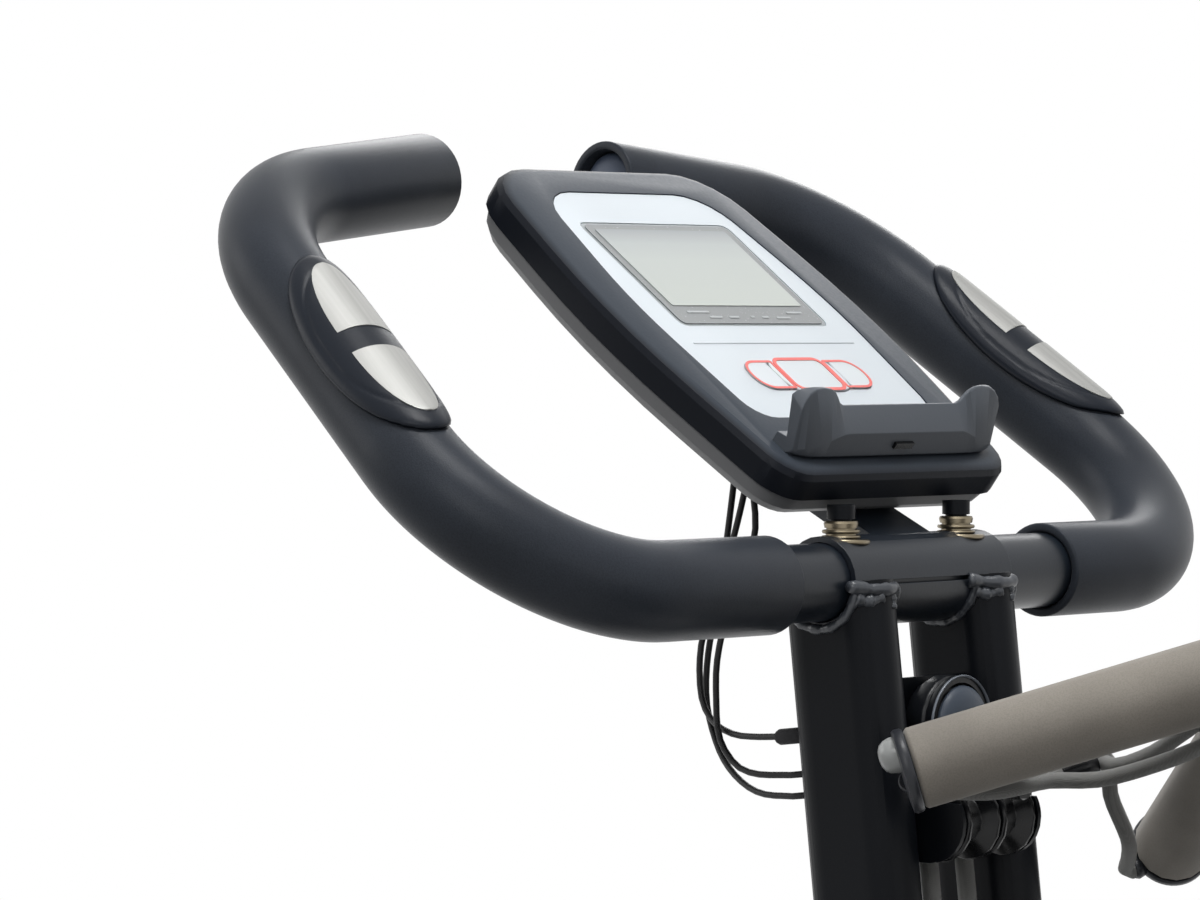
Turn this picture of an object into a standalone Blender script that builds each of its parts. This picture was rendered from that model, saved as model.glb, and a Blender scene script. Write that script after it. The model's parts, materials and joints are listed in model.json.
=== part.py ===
# Folding recumbent exercise bike, modelled as separate pieces in metres.
# +X is the rider's right, +Y points forward, away from the seat, and +Z is up.
# The origin is on the floor, midway between the rear foot and the front wheels.

from math import acos, atan2, ceil, cos, hypot, pi, radians, sin, sqrt, tan

import bmesh
import bpy
from mathutils import Matrix, Vector

# Clearances
GAP = 0.0003
HOLE_GAP = 0.0003

# Overall layout
HALF_LENGTH = 0.535
FOOT_HALF_WIDTH = 0.24
FRONT_FOOT_HALF_WIDTH = 0.20
FOOT_RADIUS = 0.025
FOOT_HEIGHT = 0.031
CAP_RADIUS = 0.033
CAP_LENGTH = 0.048
PIVOT_Y = -0.10
PIVOT_Z = 0.40
CLAMP_Y = 0.16
CLAMP_Z = 1.08
UPRIGHT_LEAN = 0.116
UPRIGHT_WIDTH = 0.024
UPRIGHT_DEPTH = 0.044
UPRIGHT_SPACING = 0.073
UPRIGHT_BEND_RADIUS = 0.12

# Handlebar
BAR_RADIUS = 0.0143
FOAM_RADIUS = 0.018
BAR_SIDE_X = 0.2187
BAR_CORNER = (0.1742, 0.1766, 0.1368)
BAR_END = (0.0525, 0.1891, 0.1495)
BAR_SIDE_BEND = 0.067
BAR_CORNER_BEND = 0.0735
FOAM_START_LEFT = 0.079
FOAM_START_RIGHT = 0.089
FOAM_OVERHANG = 0.006
BAR_PLANE = (0.0, -0.61, 0.79)

# Pulse sensors on the grips
SENSOR_CENTRE_RUN = 0.3025
SENSOR_HALF_LENGTH = 0.050
SENSOR_HALF_ANGLE = radians(66)
SENSOR_THICKNESS = 0.0042
PLATE_THICKNESS = 0.001
PLATE_SPLIT = 0.0045
PLATE_REACH = 0.043
PLATE_SPREAD = 0.64

# Handlebar clamp
SLEEVE_HALF_LENGTH = 0.048
SLEEVE_WALL = 0.0022
SLEEVE_SLIT = 0.0014
BOLT_X = 0.0353
BOLT_RADIUS = 0.004
BOLT_HEAD_RADIUS = 0.0065
WASHER_RADIUS = 0.0095

# Console
CONSOLE_SLOPE = radians(37.2)
CONSOLE_Y = 0.0672
CONSOLE_Z = 0.0938
SHELL_LOW = -0.090
SHELL_HIGH = 0.101
SHELL_HALF_LOW = 0.069
SHELL_HALF_MID = 0.0815
SHELL_HALF_HIGH = 0.0675
SHELL_RIM = 0.012
SHELL_BACK = 0.012
FACE_LOW = -0.056
FACE_HIGH = 0.084
FACE_HALF_LOW = 0.0545
FACE_HALF_MID = 0.0600
FACE_HALF_HIGH = 0.0490
FACE_THICKNESS = 0.0018
LENS_HALF_WIDTH = 0.0445
LENS_LOW = 0.0
LENS_HIGH = 0.0645
KEY_CENTRE = -0.031
KEY_HALF_HEIGHT = 0.0098
KEY_MID_HALF = 0.0187
KEY_REACH = 0.0345
KEY_THICKNESS = 0.0016
KEY_TRAVEL = 0.0005
LEDGE_HALF_WIDTH = 0.059
LEDGE_LOW = -0.0845
LEDGE_HIGH = -0.058
LEDGE_CREASE = 0.0125
# Each row of the lip: distance from the middle, place up the face, height
LEDGE_LIP = ((0.0, -0.0715, 0.0166), (0.0355, -0.0715, 0.0168), (0.0375, -0.0700, 0.0200), (0.0392, -0.0690, 0.0222),
             (0.0430, -0.0683, 0.0230), (0.0490, -0.0680, 0.0230), (0.0535, -0.0680, 0.0216), (0.0565, -0.0690, 0.0190),
             (0.0583, -0.0705, 0.0155), (0.0590, -0.0730, 0.0130))
CONSOLE_BRACKET_HALF = 0.018

# Pulleys, bands and knob between the uprights, measured from the clamp's centre
PULLEY_Y = -0.033
PULLEY_Z = -0.0875
PULLEY_RADIUS = 0.015
PULLEY_GROOVE = 0.009
PULLEY_X = 0.0108
PULLEY_HALF_WIDTH = 0.0100
PULLEY_RIM = 0.0022
AXLE_RADIUS = 0.003
YOKE_WALL = 0.002
EAR_RADIUS = 0.0145
YOKE_LOW = -0.1022
YOKE_HIGH = -0.036
YOKE_STEP = -0.0800
YOKE_BACK = -0.010
BAND_RADIUS = 0.0035
FERRULE_RADIUS = 0.0062
FERRULE_LENGTH = 0.019
ANCHOR_Z = -0.390
ANCHOR_THICKNESS = 0.006
KNOB_Z = -0.0535
KNOB_RADIUS = 0.0185

# Band handles
HANDLE_FOAM_RADIUS = 0.015
HANDLE_CORE_RADIUS = 0.011
HANDLE_LENGTH = 0.125
HANDLE_CAP = 0.004
HANDLE_DOME = 0.0065
HANDLE_DOME_RADIUS = 0.0085
STIRRUP_RADIUS = 0.003
LEFT_HANDLE_END = (-0.0573, -0.050, -0.065)
LEFT_HANDLE_AXIS = (0.618, -0.732, 0.287)
RIGHT_HANDLE_END = (0.130, -0.0334, -0.1064)
RIGHT_HANDLE_AXIS = (-0.605, -0.680, 0.430)

# Wires behind the console
WIRE_RADIUS = 0.00125

# Seat leg
LEG_WIDTH = 0.040
LEG_DEPTH = 0.050
LEG_TURN_Y = -0.300
LEG_TURN_RADIUS = 0.075
SEAT_TUBE_LENGTH = 0.130
SEAT_TUBE_LEAN = radians(10)
PIVOT_RADIUS = 0.007
SLEEVE_RADIUS = 0.015
LOCK_OFFSET = 0.0195
LOCK_RADIUS = 0.004

# Seat
POST_WIDTH = 0.030
POST_DEPTH = 0.040
POST_INSERTION = 0.112
SEAT_RISE = 0.043
SEAT_RUN = 0.130
BACK_LEAN = radians(11)
BACK_RISE = 0.290
CUSHION_HALF_WIDTH = 0.185
CUSHION_HALF_DEPTH = 0.150
CUSHION_THICKNESS = 0.070
BACKREST_HALF_WIDTH = 0.175
BACKREST_HALF_HEIGHT = 0.130
BACKREST_THICKNESS = 0.055

# Drive
CRANK_RUN = 0.250
CRANK_LIFT = 0.150
FLYWHEEL_RUN = 0.450
FLYWHEEL_LIFT = 0.145
NOSE_RUN = 0.100
NOSE_LIFT = 0.072
HOUSING_HALF_WIDTH = 0.046
HOUSING_WALL = 0.0025
HOUSING_ROUND = 0.012
DRIVE_PULLEY_RADIUS = 0.092
HUB_RADIUS = 0.018
FLYWHEEL_RADIUS = 0.088
BELT_THICKNESS = 0.003
BELT_WIDTH = 0.010
BELT_X = -0.022
SHAFT_RADIUS = 0.008
CRANK_LENGTH = 0.165
CRANK_INNER_X = 0.050
CRANK_THICKNESS = 0.012
PEDAL_HALF_LENGTH = 0.048
PEDAL_WIDTH = 0.092
PEDAL_THICKNESS = 0.022
STRAP_HEIGHT = 0.058
MAGNET_GAP = 0.004

# Transport wheels
WHEEL_RADIUS = 0.025
WHEEL_OFFSET = 0.054
WHEEL_WIDTH = 0.020
WHEEL_PIN = 0.004

CLAMP = Vector((0.0, CLAMP_Y, CLAMP_Z))
PIVOT = Vector((0.0, PIVOT_Y, PIVOT_Z))
REAR_FOOT = Vector((0.0, -HALF_LENGTH + CAP_RADIUS, FOOT_HEIGHT))
FRONT_WHEEL_Y = HALF_LENGTH - WHEEL_RADIUS
FRONT_FOOT = Vector((0.0, FRONT_WHEEL_Y - WHEEL_OFFSET, FOOT_HEIGHT))
LEG_DOWN = (FRONT_FOOT - PIVOT).normalized()
LEG_NORMAL = Vector((0.0, -LEG_DOWN.z, LEG_DOWN.y))
SLEEVE_RADIUS_OUT = BAR_RADIUS + GAP + SLEEVE_WALL
X_AXIS = Vector((1.0, 0.0, 0.0))
Z_AXIS = Vector((0.0, 0.0, 1.0))

BLACK_PAINT = ((0.012, 0.013, 0.015), 0.32, 0.3)
FOAM = ((0.035, 0.037, 0.042), 0.85, 0.0)
DARK_PLASTIC = ((0.045, 0.052, 0.064), 0.5, 0.0)
STEEL = ((0.62, 0.62, 0.60), 0.3, 1.0)
ZINC = ((0.62, 0.52, 0.30), 0.32, 1.0)
GREY_PLASTIC = ((0.16, 0.17, 0.18), 0.5, 0.0)
PALE_PLASTIC = ((0.72, 0.76, 0.80), 0.4, 0.0)
LENS = ((0.42, 0.46, 0.43), 0.15, 0.0)
RUBBER = ((0.02, 0.02, 0.022), 0.7, 0.0)
TAUPE_FOAM = ((0.22, 0.20, 0.175), 0.9, 0.0)
GREY_CORD = ((0.16, 0.155, 0.14), 0.8, 0.0)
VINYL = ((0.03, 0.03, 0.033), 0.55, 0.0)
SILVER = ((0.55, 0.56, 0.57), 0.35, 0.8)


def clear_scene():
    for item in list(bpy.data.objects):
        bpy.data.objects.remove(item, do_unlink=True)


def material(name, finish):
    colour, roughness, metallic = finish
    made = bpy.data.materials.new(name)
    made.use_nodes = True
    shader = made.node_tree.nodes["Principled BSDF"]
    shader.inputs["Base Color"].default_value = (*colour, 1.0)
    shader.inputs["Roughness"].default_value = roughness
    shader.inputs["Metallic"].default_value = metallic
    return made


def add_object(name, bm, finish, origin=(0.0, 0.0, 0.0), sharp=35):
    """Makes an object from a bmesh drawn in world space, with its origin where it turns or slides."""
    bmesh.ops.recalc_face_normals(bm, faces=bm.faces)
    bmesh.ops.translate(bm, verts=bm.verts, vec=-Vector(origin))
    mesh = bpy.data.meshes.new(name)
    bm.to_mesh(mesh)
    bm.free()
    mesh.shade_smooth()
    mesh.set_sharp_from_angle(angle=radians(sharp))
    mesh.materials.append(material(name, finish))
    made = bpy.data.objects.new(name, mesh)
    made.location = origin
    bpy.context.scene.collection.objects.link(made)
    return made


def boolean(target, bm, operation, label):
    """Cuts a bmesh from an object, or fuses it on."""
    tool = add_object(target.name + "_" + label, bm, RUBBER)
    tool.hide_render = True
    tool.display_type = "WIRE"
    step = target.modifiers.new(label, "BOOLEAN")
    step.operation = operation
    step.solver = "EXACT"
    step.object = tool


def loft(rings, loop=False):
    """Skins a list of rings with equal counts of points, and closes it at both ends or onto itself."""
    bm = bmesh.new()
    rows = [[bm.verts.new(point) for point in ring] for ring in rings]
    pairs = list(zip(rows, rows[1:]))
    if loop:
        pairs.append((rows[-1], rows[0]))
    for first, second in pairs:
        for index in range(len(first)):
            after = (index + 1) % len(first)
            bm.faces.new((first[index], first[after], second[after], second[index]))
    if not loop:
        bm.faces.new(rows[0])
        bm.faces.new(list(reversed(rows[-1])))
    return bm


def circle(radius, steps):
    return [(radius * cos(2 * pi * i / steps), radius * sin(2 * pi * i / steps)) for i in range(steps)]


def flat_oval(width, depth, steps):
    """A stadium outline: width is the short side, and the round ends point along depth."""
    radius = width / 2
    shift = depth / 2 - radius
    points = []
    for index in range(steps):
        angle = 2 * pi * (index + 0.5) / steps
        offset = shift if sin(angle) > 0 else -shift
        points.append((radius * cos(angle), radius * sin(angle) + offset))
    return points


def rounded_outline(corners, radii, steps):
    """A closed outline whose corners are arcs."""
    points = []
    count = len(corners)
    for index in range(count):
        before = Vector(corners[index - 1])
        here = Vector(corners[index])
        after = Vector(corners[(index + 1) % count])
        arc = arc_between(before, here, after, radii[index], steps)
        points.extend((point.x, point.y) for point in arc)
    return points


def arc_between(before, here, after, radius, steps):
    """The arc that rounds one corner of a path, as a list of points."""
    back = (before - here).normalized()
    ahead = (after - here).normalized()
    angle = acos(max(-1.0, min(1.0, back.dot(ahead))))
    reach = min(radius / tan(angle / 2), 0.49 * (before - here).length, 0.49 * (after - here).length)
    radius = reach * tan(angle / 2)
    centre = here + (back + ahead).normalized() * (radius / sin(angle / 2))
    start = here + back * reach - centre
    end = here + ahead * reach - centre
    turn = pi - angle
    points = []
    for step in range(steps + 1):
        share = step / steps
        blend = (start * sin((1 - share) * turn) + end * sin(share * turn)) / sin(turn)
        points.append(centre + blend)
    return points


def rounded_path(corners, radii, degrees_per_step=9):
    """A path through corners, each rounded to its radius."""
    points = [Vector(corners[0])]
    for index in range(1, len(corners) - 1):
        before, here, after = (Vector(corner) for corner in corners[index - 1:index + 2])
        turn = pi - (before - here).angle(after - here)
        steps = max(2, ceil(turn / radians(degrees_per_step)))
        back = (before - here).normalized()
        reach = radii[index - 1] * tan(turn / 2)
        points.append(here + back * reach)
        arc = arc_between(here + back * reach * 3, here, here + (after - here).normalized() * reach * 3,
                          radii[index - 1], steps)
        points.extend(arc[1:])
    points.append(Vector(corners[-1]))
    return points


def smooth_route(points, spacing):
    """Reads evenly spaced points from a smooth curve through the route's own points."""
    route = [Vector(point) for point in points]
    padded = [route[0] * 2 - route[1]] + route + [route[-1] * 2 - route[-2]]
    dense = []
    for index in range(1, len(padded) - 2):
        a, b, c, d = padded[index - 1:index + 3]
        for step in range(20):
            t = step / 20
            dense.append(0.5 * ((2 * b) + (c - a) * t + (2 * a - 5 * b + 4 * c - d) * t * t
                                + (3 * b - a - 3 * c + d) * t ** 3))
    dense.append(route[-1])
    total = sum((q - p).length for p, q in zip(dense, dense[1:]))
    count = max(2, round(total / spacing))
    picked = [dense[0]]
    run = 0.0
    for p, q in zip(dense, dense[1:]):
        run += (q - p).length
        if run >= len(picked) * total / count and len(picked) < count:
            picked.append(q)
    picked.append(dense[-1])
    return picked


def path_frames(path, up):
    """The point, side and up directions at each point of a path."""
    frames = []
    for index, point in enumerate(path):
        before = path[max(index - 1, 0)]
        after = path[min(index + 1, len(path) - 1)]
        if 0 < index < len(path) - 1:
            tangent = (point - before).normalized() + (after - point).normalized()
        else:
            tangent = after - before
        tangent.normalize()
        side = tangent.cross(Vector(up)).normalized()
        frames.append((point, side, side.cross(tangent).normalized()))
    return frames


def sweep(path, section, up, sizes=None):
    """The rings of a section carried along a path."""
    rings = []
    for index, (point, side, rise) in enumerate(path_frames(path, up)):
        size = sizes[index] if sizes else 1.0
        rings.append([point + side * (x * size) + rise * (y * size) for x, y in section])
    return rings


def basis(axis):
    axis = Vector(axis).normalized()
    helper = Z_AXIS if abs(axis.z) < 0.9 else X_AXIS
    side = axis.cross(helper).normalized()
    return axis, side, side.cross(axis).normalized()


def turned_rings(profile, origin, axis, steps):
    """The rings of a turned shape; the profile lists radius and distance along the axis."""
    axis, side, rise = basis(axis)
    origin = Vector(origin)
    return [[origin + axis * run + side * x + rise * y for x, y in circle(radius, steps)]
            for radius, run in profile]


def turned(profile, origin, axis, steps=20, loop=False):
    return loft(turned_rings(profile, origin, axis, steps), loop)


def rod(start, end, radius, steps=16):
    start, end = Vector(start), Vector(end)
    return turned([(radius, 0.0), (radius, (end - start).length)], start, end - start, steps)


def plate_yz(outline, x_low, x_high):
    """An outline in Y and Z, given thickness along X."""
    return loft([[Vector((x, y, z)) for y, z in outline] for x in (x_low, x_high)])


def cord_object(name, points, radius, finish, spacing=2.6, resolution=2, end_sizes=None):
    """A cord as a curve with a round bevel; with a spacing, it is smoothed between its straight ends."""
    route = list(points)
    if spacing:
        route = route[:1] + smooth_route(route[1:-1], spacing * 2 * radius) + route[-1:]
    curve = bpy.data.curves.new(name, "CURVE")
    curve.dimensions = "3D"
    curve.bevel_depth = radius
    curve.bevel_resolution = resolution
    curve.use_fill_caps = True
    spline = curve.splines.new("POLY")
    spline.points.add(len(route) - 1)
    for index, point in enumerate(route):
        spline.points[index].co = (*point, 1.0)
    for offset, size in (end_sizes or []):
        spline.points[len(route) - 1 - offset].radius = size
    curve.materials.append(material(name, finish))
    made = bpy.data.objects.new(name, curve)
    bpy.context.scene.collection.objects.link(made)
    return made


def from_clamp(x, y, z):
    return CLAMP + Vector((x, y, z))


# Frame


def upright_y(z):
    """The forward position of the uprights' centreline at a height above the clamp's centre."""
    return CLAMP_Y + UPRIGHT_LEAN * z


def upright_path(side):
    x = side * UPRIGHT_SPACING / 2
    low = PIVOT - REAR_FOOT
    slope = low.z / low.y
    top = Vector((x, upright_y(-0.001), CLAMP_Z - 0.001))
    bend_y = (CLAMP_Y + UPRIGHT_LEAN * (PIVOT_Z - slope * PIVOT_Y - CLAMP_Z)) / (1 - UPRIGHT_LEAN * slope)
    bend = Vector((x, bend_y, PIVOT_Z + slope * (bend_y - PIVOT_Y)))
    foot = Vector((x, REAR_FOOT.y, REAR_FOOT.z))
    return rounded_path([top, bend, foot], [UPRIGHT_BEND_RADIUS], 9)


def build_upright(name, side):
    """A flat-oval post that leans, bends over the seat leg and runs down to the rear foot."""
    section = flat_oval(UPRIGHT_WIDTH, UPRIGHT_DEPTH, 28)
    post = add_object(name, loft(sweep(upright_path(side), [(y, x) for x, y in section], X_AXIS)), BLACK_PAINT)
    reach = 0.06
    x = side * UPRIGHT_SPACING / 2
    boolean(post, rod((x - reach, CLAMP_Y, CLAMP_Z), (x + reach, CLAMP_Y, CLAMP_Z),
                      SLEEVE_RADIUS_OUT + GAP, 28), "DIFFERENCE", "top_saddle")
    boolean(post, rod((x - reach, REAR_FOOT.y, REAR_FOOT.z), (x + reach, REAR_FOOT.y, REAR_FOOT.z),
                      FOOT_RADIUS + GAP, 28), "DIFFERENCE", "foot_saddle")
    boolean(post, rod((x - reach, PIVOT_Y, PIVOT_Z), (x + reach, PIVOT_Y, PIVOT_Z),
                      PIVOT_RADIUS + HOLE_GAP, 16), "DIFFERENCE", "pivot_hole")
    if side > 0:
        lock = lock_point()
        boolean(post, rod((x - reach, lock.y, lock.z), (x + reach, lock.y, lock.z),
                          LOCK_RADIUS + HOLE_GAP, 12), "DIFFERENCE", "lock_hole")
    return post


def lock_point():
    return PIVOT + (PIVOT - REAR_FOOT).normalized() * LOCK_OFFSET


def foot_rings(half_width, steps=20):
    """A round tube with larger rubber ends that are flat where they stand."""
    stations = [(half_width, CAP_RADIUS - 0.004), (half_width - 0.004, CAP_RADIUS),
                (half_width - CAP_LENGTH, CAP_RADIUS), (half_width - CAP_LENGTH - 0.001, FOOT_RADIUS)]
    stations = [(-x, r) for x, r in stations] + [(x, r) for x, r in reversed(stations)]
    rings = []
    for x, radius in stations:
        ring = []
        for index in range(steps):
            angle = 2 * pi * (index + 0.5) / steps
            z = max(FOOT_HEIGHT + radius * sin(angle), 0.0)
            ring.append(Vector((x, radius * cos(angle), z)))
        rings.append(ring)
    return rings


def build_feet():
    """The rear foot tube and the front one, which carries ears and pins for the wheels."""
    rear = loft(foot_rings(FOOT_HALF_WIDTH))
    bmesh.ops.translate(rear, verts=rear.verts, vec=(0.0, REAR_FOOT.y, 0.0))
    add_object("rear_foot_tube", rear, BLACK_PAINT)
    front = loft(foot_rings(FRONT_FOOT_HALF_WIDTH))
    bmesh.ops.translate(front, verts=front.verts, vec=(0.0, FRONT_FOOT.y, 0.0))
    foot = add_object("front_foot_tube", front, BLACK_PAINT)
    wheel_z = WHEEL_RADIUS + 0.0035
    ear = 0.005
    inner = FRONT_FOOT_HALF_WIDTH - CAP_LENGTH - 0.032
    for side, label in ((-1, "left"), (1, "right")):
        outline = rounded_outline([(FRONT_FOOT.y, wheel_z + 0.012), (FRONT_FOOT.y, wheel_z - 0.012),
                                   (FRONT_WHEEL_Y + 0.011, wheel_z - 0.011),
                                   (FRONT_WHEEL_Y + 0.011, wheel_z + 0.011)],
                                  [0.002, 0.002, 0.010, 0.010], 4)
        low, high = sorted((side * inner, side * (inner + ear)))
        boolean(foot, plate_yz(outline, low, high), "UNION", "ear_" + label)
        pin_end = side * (inner + ear + WHEEL_WIDTH + 0.002)
        boolean(foot, rod((side * (inner + ear / 2), FRONT_WHEEL_Y, wheel_z),
                          (pin_end, FRONT_WHEEL_Y, wheel_z), WHEEL_PIN, 12), "UNION", "pin_" + label)
        start = inner + ear + GAP
        profile = [(WHEEL_PIN + HOLE_GAP, start), (0.011, start), (0.012, start + 0.003),
                   (WHEEL_RADIUS - 0.002, start + 0.003), (WHEEL_RADIUS, start + 0.005),
                   (WHEEL_RADIUS, start + WHEEL_WIDTH - 0.005), (WHEEL_RADIUS - 0.002, start + WHEEL_WIDTH - 0.003),
                   (0.012, start + WHEEL_WIDTH - 0.003), (0.011, start + WHEEL_WIDTH),
                   (WHEEL_PIN + HOLE_GAP, start + WHEEL_WIDTH)]
        centre = (0.0, FRONT_WHEEL_Y, wheel_z)
        wheel = turned(profile, centre, (side, 0, 0), 14, True)
        add_object("transport_wheel_" + label, wheel, RUBBER, centre)


# Handlebar and its clamp


def bar_corners(side):
    return [CLAMP.copy(), from_clamp(side * BAR_SIDE_X, 0.0, 0.0),
            from_clamp(side * BAR_CORNER[0], BAR_CORNER[1], BAR_CORNER[2]),
            from_clamp(side * BAR_END[0], BAR_END[1], BAR_END[2])]


def bar_path(side):
    """One half of the handlebar's centreline, from the clamp out, forward, up and back in."""
    return rounded_path(bar_corners(side), [BAR_SIDE_BEND, BAR_CORNER_BEND], 15)


def cut_path(path, start, end):
    """The stretch of a path between two runs along it."""
    picked = []
    run = 0.0
    for first, second in zip(path, path[1:]):
        length = (second - first).length
        if not picked and run + length > start:
            picked.append(first.lerp(second, (start - run) / length))
        if picked and run + length >= end:
            picked.append(first.lerp(second, (end - run) / length))
            return picked
        if picked:
            picked.append(second.copy())
        run += length
    return picked


def path_length(path):
    return sum((b - a).length for a, b in zip(path, path[1:]))


def point_at(path, run):
    for first, second in zip(path, path[1:]):
        length = (second - first).length
        if run <= length:
            return first.lerp(second, run / length), (second - first).normalized()
        run -= length
    return path[-1].copy(), (path[-1] - path[-2]).normalized()


def build_handlebar():
    """A bent tube with a domed plug in each end and two holes for the clamp's bolts."""
    half = bar_path(1)
    half = cut_path(half, 0.0, path_length(half) - FOAM_OVERHANG)
    mirrored = [Vector((-p.x, p.y, p.z)) for p in reversed(half[1:])]
    path = mirrored + half[1:]
    rings = sweep(path, circle(BAR_RADIUS, 12), BAR_PLANE)
    for end, inner in ((0, 1), (-1, -2)):
        outward = (path[end] - path[inner]).normalized()
        centre = path[end]
        caps = []
        for share, bulge in ((0.93, 0.0012), (0.72, 0.0034), (0.36, 0.0046)):
            caps.append([centre + (p - centre) * share + outward * bulge for p in rings[end]])
        rings = list(reversed(caps)) + rings if end == 0 else rings + caps
    bar = add_object("handlebar_tube", loft(rings), BLACK_PAINT)
    for side, label in ((-1, "left"), (1, "right")):
        x = side * BOLT_X
        hole = rod((x, CLAMP_Y, CLAMP_Z + 0.006), (x, CLAMP_Y, CLAMP_Z + 0.03), BOLT_RADIUS + HOLE_GAP, 12)
        boolean(bar, hole, "DIFFERENCE", "bolt_hole_" + label)


def build_foam(name, side, start):
    """A foam sleeve with a true bore, rounded at both ends."""
    whole = bar_path(side)
    path = cut_path(whole, start, path_length(whole))
    inner = BAR_RADIUS + GAP
    outer_rings = sweep(path, circle(FOAM_RADIUS, 12), BAR_PLANE)
    bore_rings = sweep(path, circle(inner, 12), BAR_PLANE)
    edge = 0.0015
    first = (path[1] - path[0]).normalized() * edge
    last = (path[-2] - path[-1]).normalized() * edge
    small = (FOAM_RADIUS - edge) / FOAM_RADIUS
    front = [path[0] + (p - path[0]) * small for p in outer_rings[0]]
    back = [path[-1] + (p - path[-1]) * small for p in outer_rings[-1]]
    outer_rings[0] = [p + first for p in outer_rings[0]]
    outer_rings[-1] = [p + last for p in outer_rings[-1]]
    rings = [front] + outer_rings + [back] + list(reversed(bore_rings))
    add_object(name, loft(rings, True), FOAM)


def sensor_frame(side, run):
    """Centre, direction, side and up of the grip at a run along the bar."""
    point, tangent = point_at(bar_path(side), run)
    across = tangent.cross(Vector(BAR_PLANE)).normalized()
    return point, across, across.cross(tangent).normalized()


def around(side, run, angle, radius):
    point, across, rise = sensor_frame(side, run)
    return point + (across * sin(angle) + rise * cos(angle)) * radius


def build_sensor(name, side):
    """A long oval housing that hugs the top of the grip."""
    stations = [-1.0, -0.93, -0.75, -0.4, 0.0, 0.4, 0.75, 0.93, 1.0]
    base = FOAM_RADIUS + GAP
    rings = []
    for share in stations:
        run = SENSOR_CENTRE_RUN + share * SENSOR_HALF_LENGTH
        spread = SENSOR_HALF_ANGLE * max(sqrt(max(0.0, 1 - share * share)), 0.16)
        lift = SENSOR_THICKNESS * (0.30 + 0.70 * sqrt(max(0.0, 1 - abs(share) ** 8)))
        hug = (base + 0.0002) / cos(spread / 6)
        ring = [around(side, run, spread * t / 3, hug) for t in (-3, -2, -1, 0, 1, 2, 3)]
        for t in (1.0, 0.95, 0.82, 0.64, 0.43, 0.21, 0.0, -0.21, -0.43, -0.64, -0.82, -0.95, -1.0):
            height = lift * (0.25 + 0.75 * sqrt(max(0.0, 1 - abs(t) ** 10)))
            ring.append(around(side, run, spread * t, base + height + 0.0002))
        rings.append(ring)
    add_object(name, loft(rings), DARK_PLASTIC)


def build_plate(name, side, low, high):
    """A curved steel contact plate with a rounded outer end."""
    base = FOAM_RADIUS + GAP + SENSOR_THICKNESS + 2 * GAP
    across = [t / 3 for t in (-3, -2, -1, 0, 1, 2, 3)]
    rings = []
    steps = 4
    for step in range(steps + 1):
        run = low + (high - low) * step / steps
        share = min(abs(run) / (PLATE_REACH + 0.001), 0.995)
        spread = SENSOR_HALF_ANGLE * PLATE_SPREAD * sqrt(1 - share * share)
        place = SENSOR_CENTRE_RUN + run
        ring = [around(side, place, spread * t, base) for t in across]
        ring += [around(side, place, spread * t, base + PLATE_THICKNESS) for t in reversed(across)]
        rings.append(ring)
    add_object(name, loft(rings), STEEL)


def half_sleeve(low_angle, high_angle, steps=12):
    """Half of a split tube round the handlebar, as an outline in Y and Z."""
    inner = BAR_RADIUS + GAP
    outline = []
    for radius, order in ((SLEEVE_RADIUS_OUT, 1), (inner, -1)):
        angles = [low_angle + (high_angle - low_angle) * i / steps for i in range(steps + 1)]
        for angle in angles[::order]:
            outline.append((CLAMP_Y + radius * cos(angle), CLAMP_Z + radius * sin(angle)))
    return outline


def build_clamp():
    """The welded cradle, the cap over it and the two bolts that pull the cap down."""
    slit = SLEEVE_SLIT / 2 / BAR_RADIUS
    length = SLEEVE_HALF_LENGTH
    add_object("clamp_cradle", plate_yz(half_sleeve(pi + slit, 2 * pi - slit), -length, length), BLACK_PAINT)
    cap = add_object("clamp_cap", plate_yz(half_sleeve(slit, pi - slit), -length, length), BLACK_PAINT)
    boolean(cap, bracket_block(), "UNION", "console_bracket")
    for side, label in ((-1, "left"), (1, "right")):
        x = side * BOLT_X
        hole = rod((x, CLAMP_Y, CLAMP_Z + 0.008), (x, CLAMP_Y, CLAMP_Z + 0.03), BOLT_RADIUS + HOLE_GAP, 12)
        boolean(cap, hole, "DIFFERENCE", "bolt_hole_" + label)
        seat = SLEEVE_RADIUS_OUT + GAP
        profile = [(BOLT_RADIUS, 0.0075), (BOLT_RADIUS, seat), (WASHER_RADIUS, seat), (WASHER_RADIUS, seat + 0.0014),
                   (0.0072, seat + 0.0014), (0.0072, seat + 0.0034), (BOLT_HEAD_RADIUS, seat + 0.0034),
                   (BOLT_HEAD_RADIUS, seat + 0.0078), (BOLT_HEAD_RADIUS - 0.001, seat + 0.0086)]
        add_object("clamp_bolt_" + label, turned(profile, (x, CLAMP_Y, CLAMP_Z), Z_AXIS, 12), ZINC)


# Console


def on_console(x, run, height):
    """A point on the sloping console: across, up the face and out of it."""
    rise = Vector((0.0, cos(CONSOLE_SLOPE), sin(CONSOLE_SLOPE)))
    out = Vector((0.0, -sin(CONSOLE_SLOPE), cos(CONSOLE_SLOPE)))
    return from_clamp(x, CONSOLE_Y, CONSOLE_Z) + rise * run + out * height


def console_outline(inset):
    """The shell's outline: slightly barrel-sided, with rounded corners."""
    middle = (SHELL_LOW + SHELL_HIGH) / 2
    low, mid, high = SHELL_HALF_LOW - inset, SHELL_HALF_MID - inset, SHELL_HALF_HIGH - inset
    corners = [(-low, SHELL_LOW + inset), (low, SHELL_LOW + inset), (mid, middle),
               (high, SHELL_HIGH - inset), (-high, SHELL_HIGH - inset), (-mid, middle)]
    round_low, round_high = max(0.016 - inset * 0.5, 0.006), max(0.028 - inset * 0.5, 0.008)
    radii = [round_low, round_low, 0.30, round_high, round_high, 0.30]
    return rounded_outline(corners, radii, 5)


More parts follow.
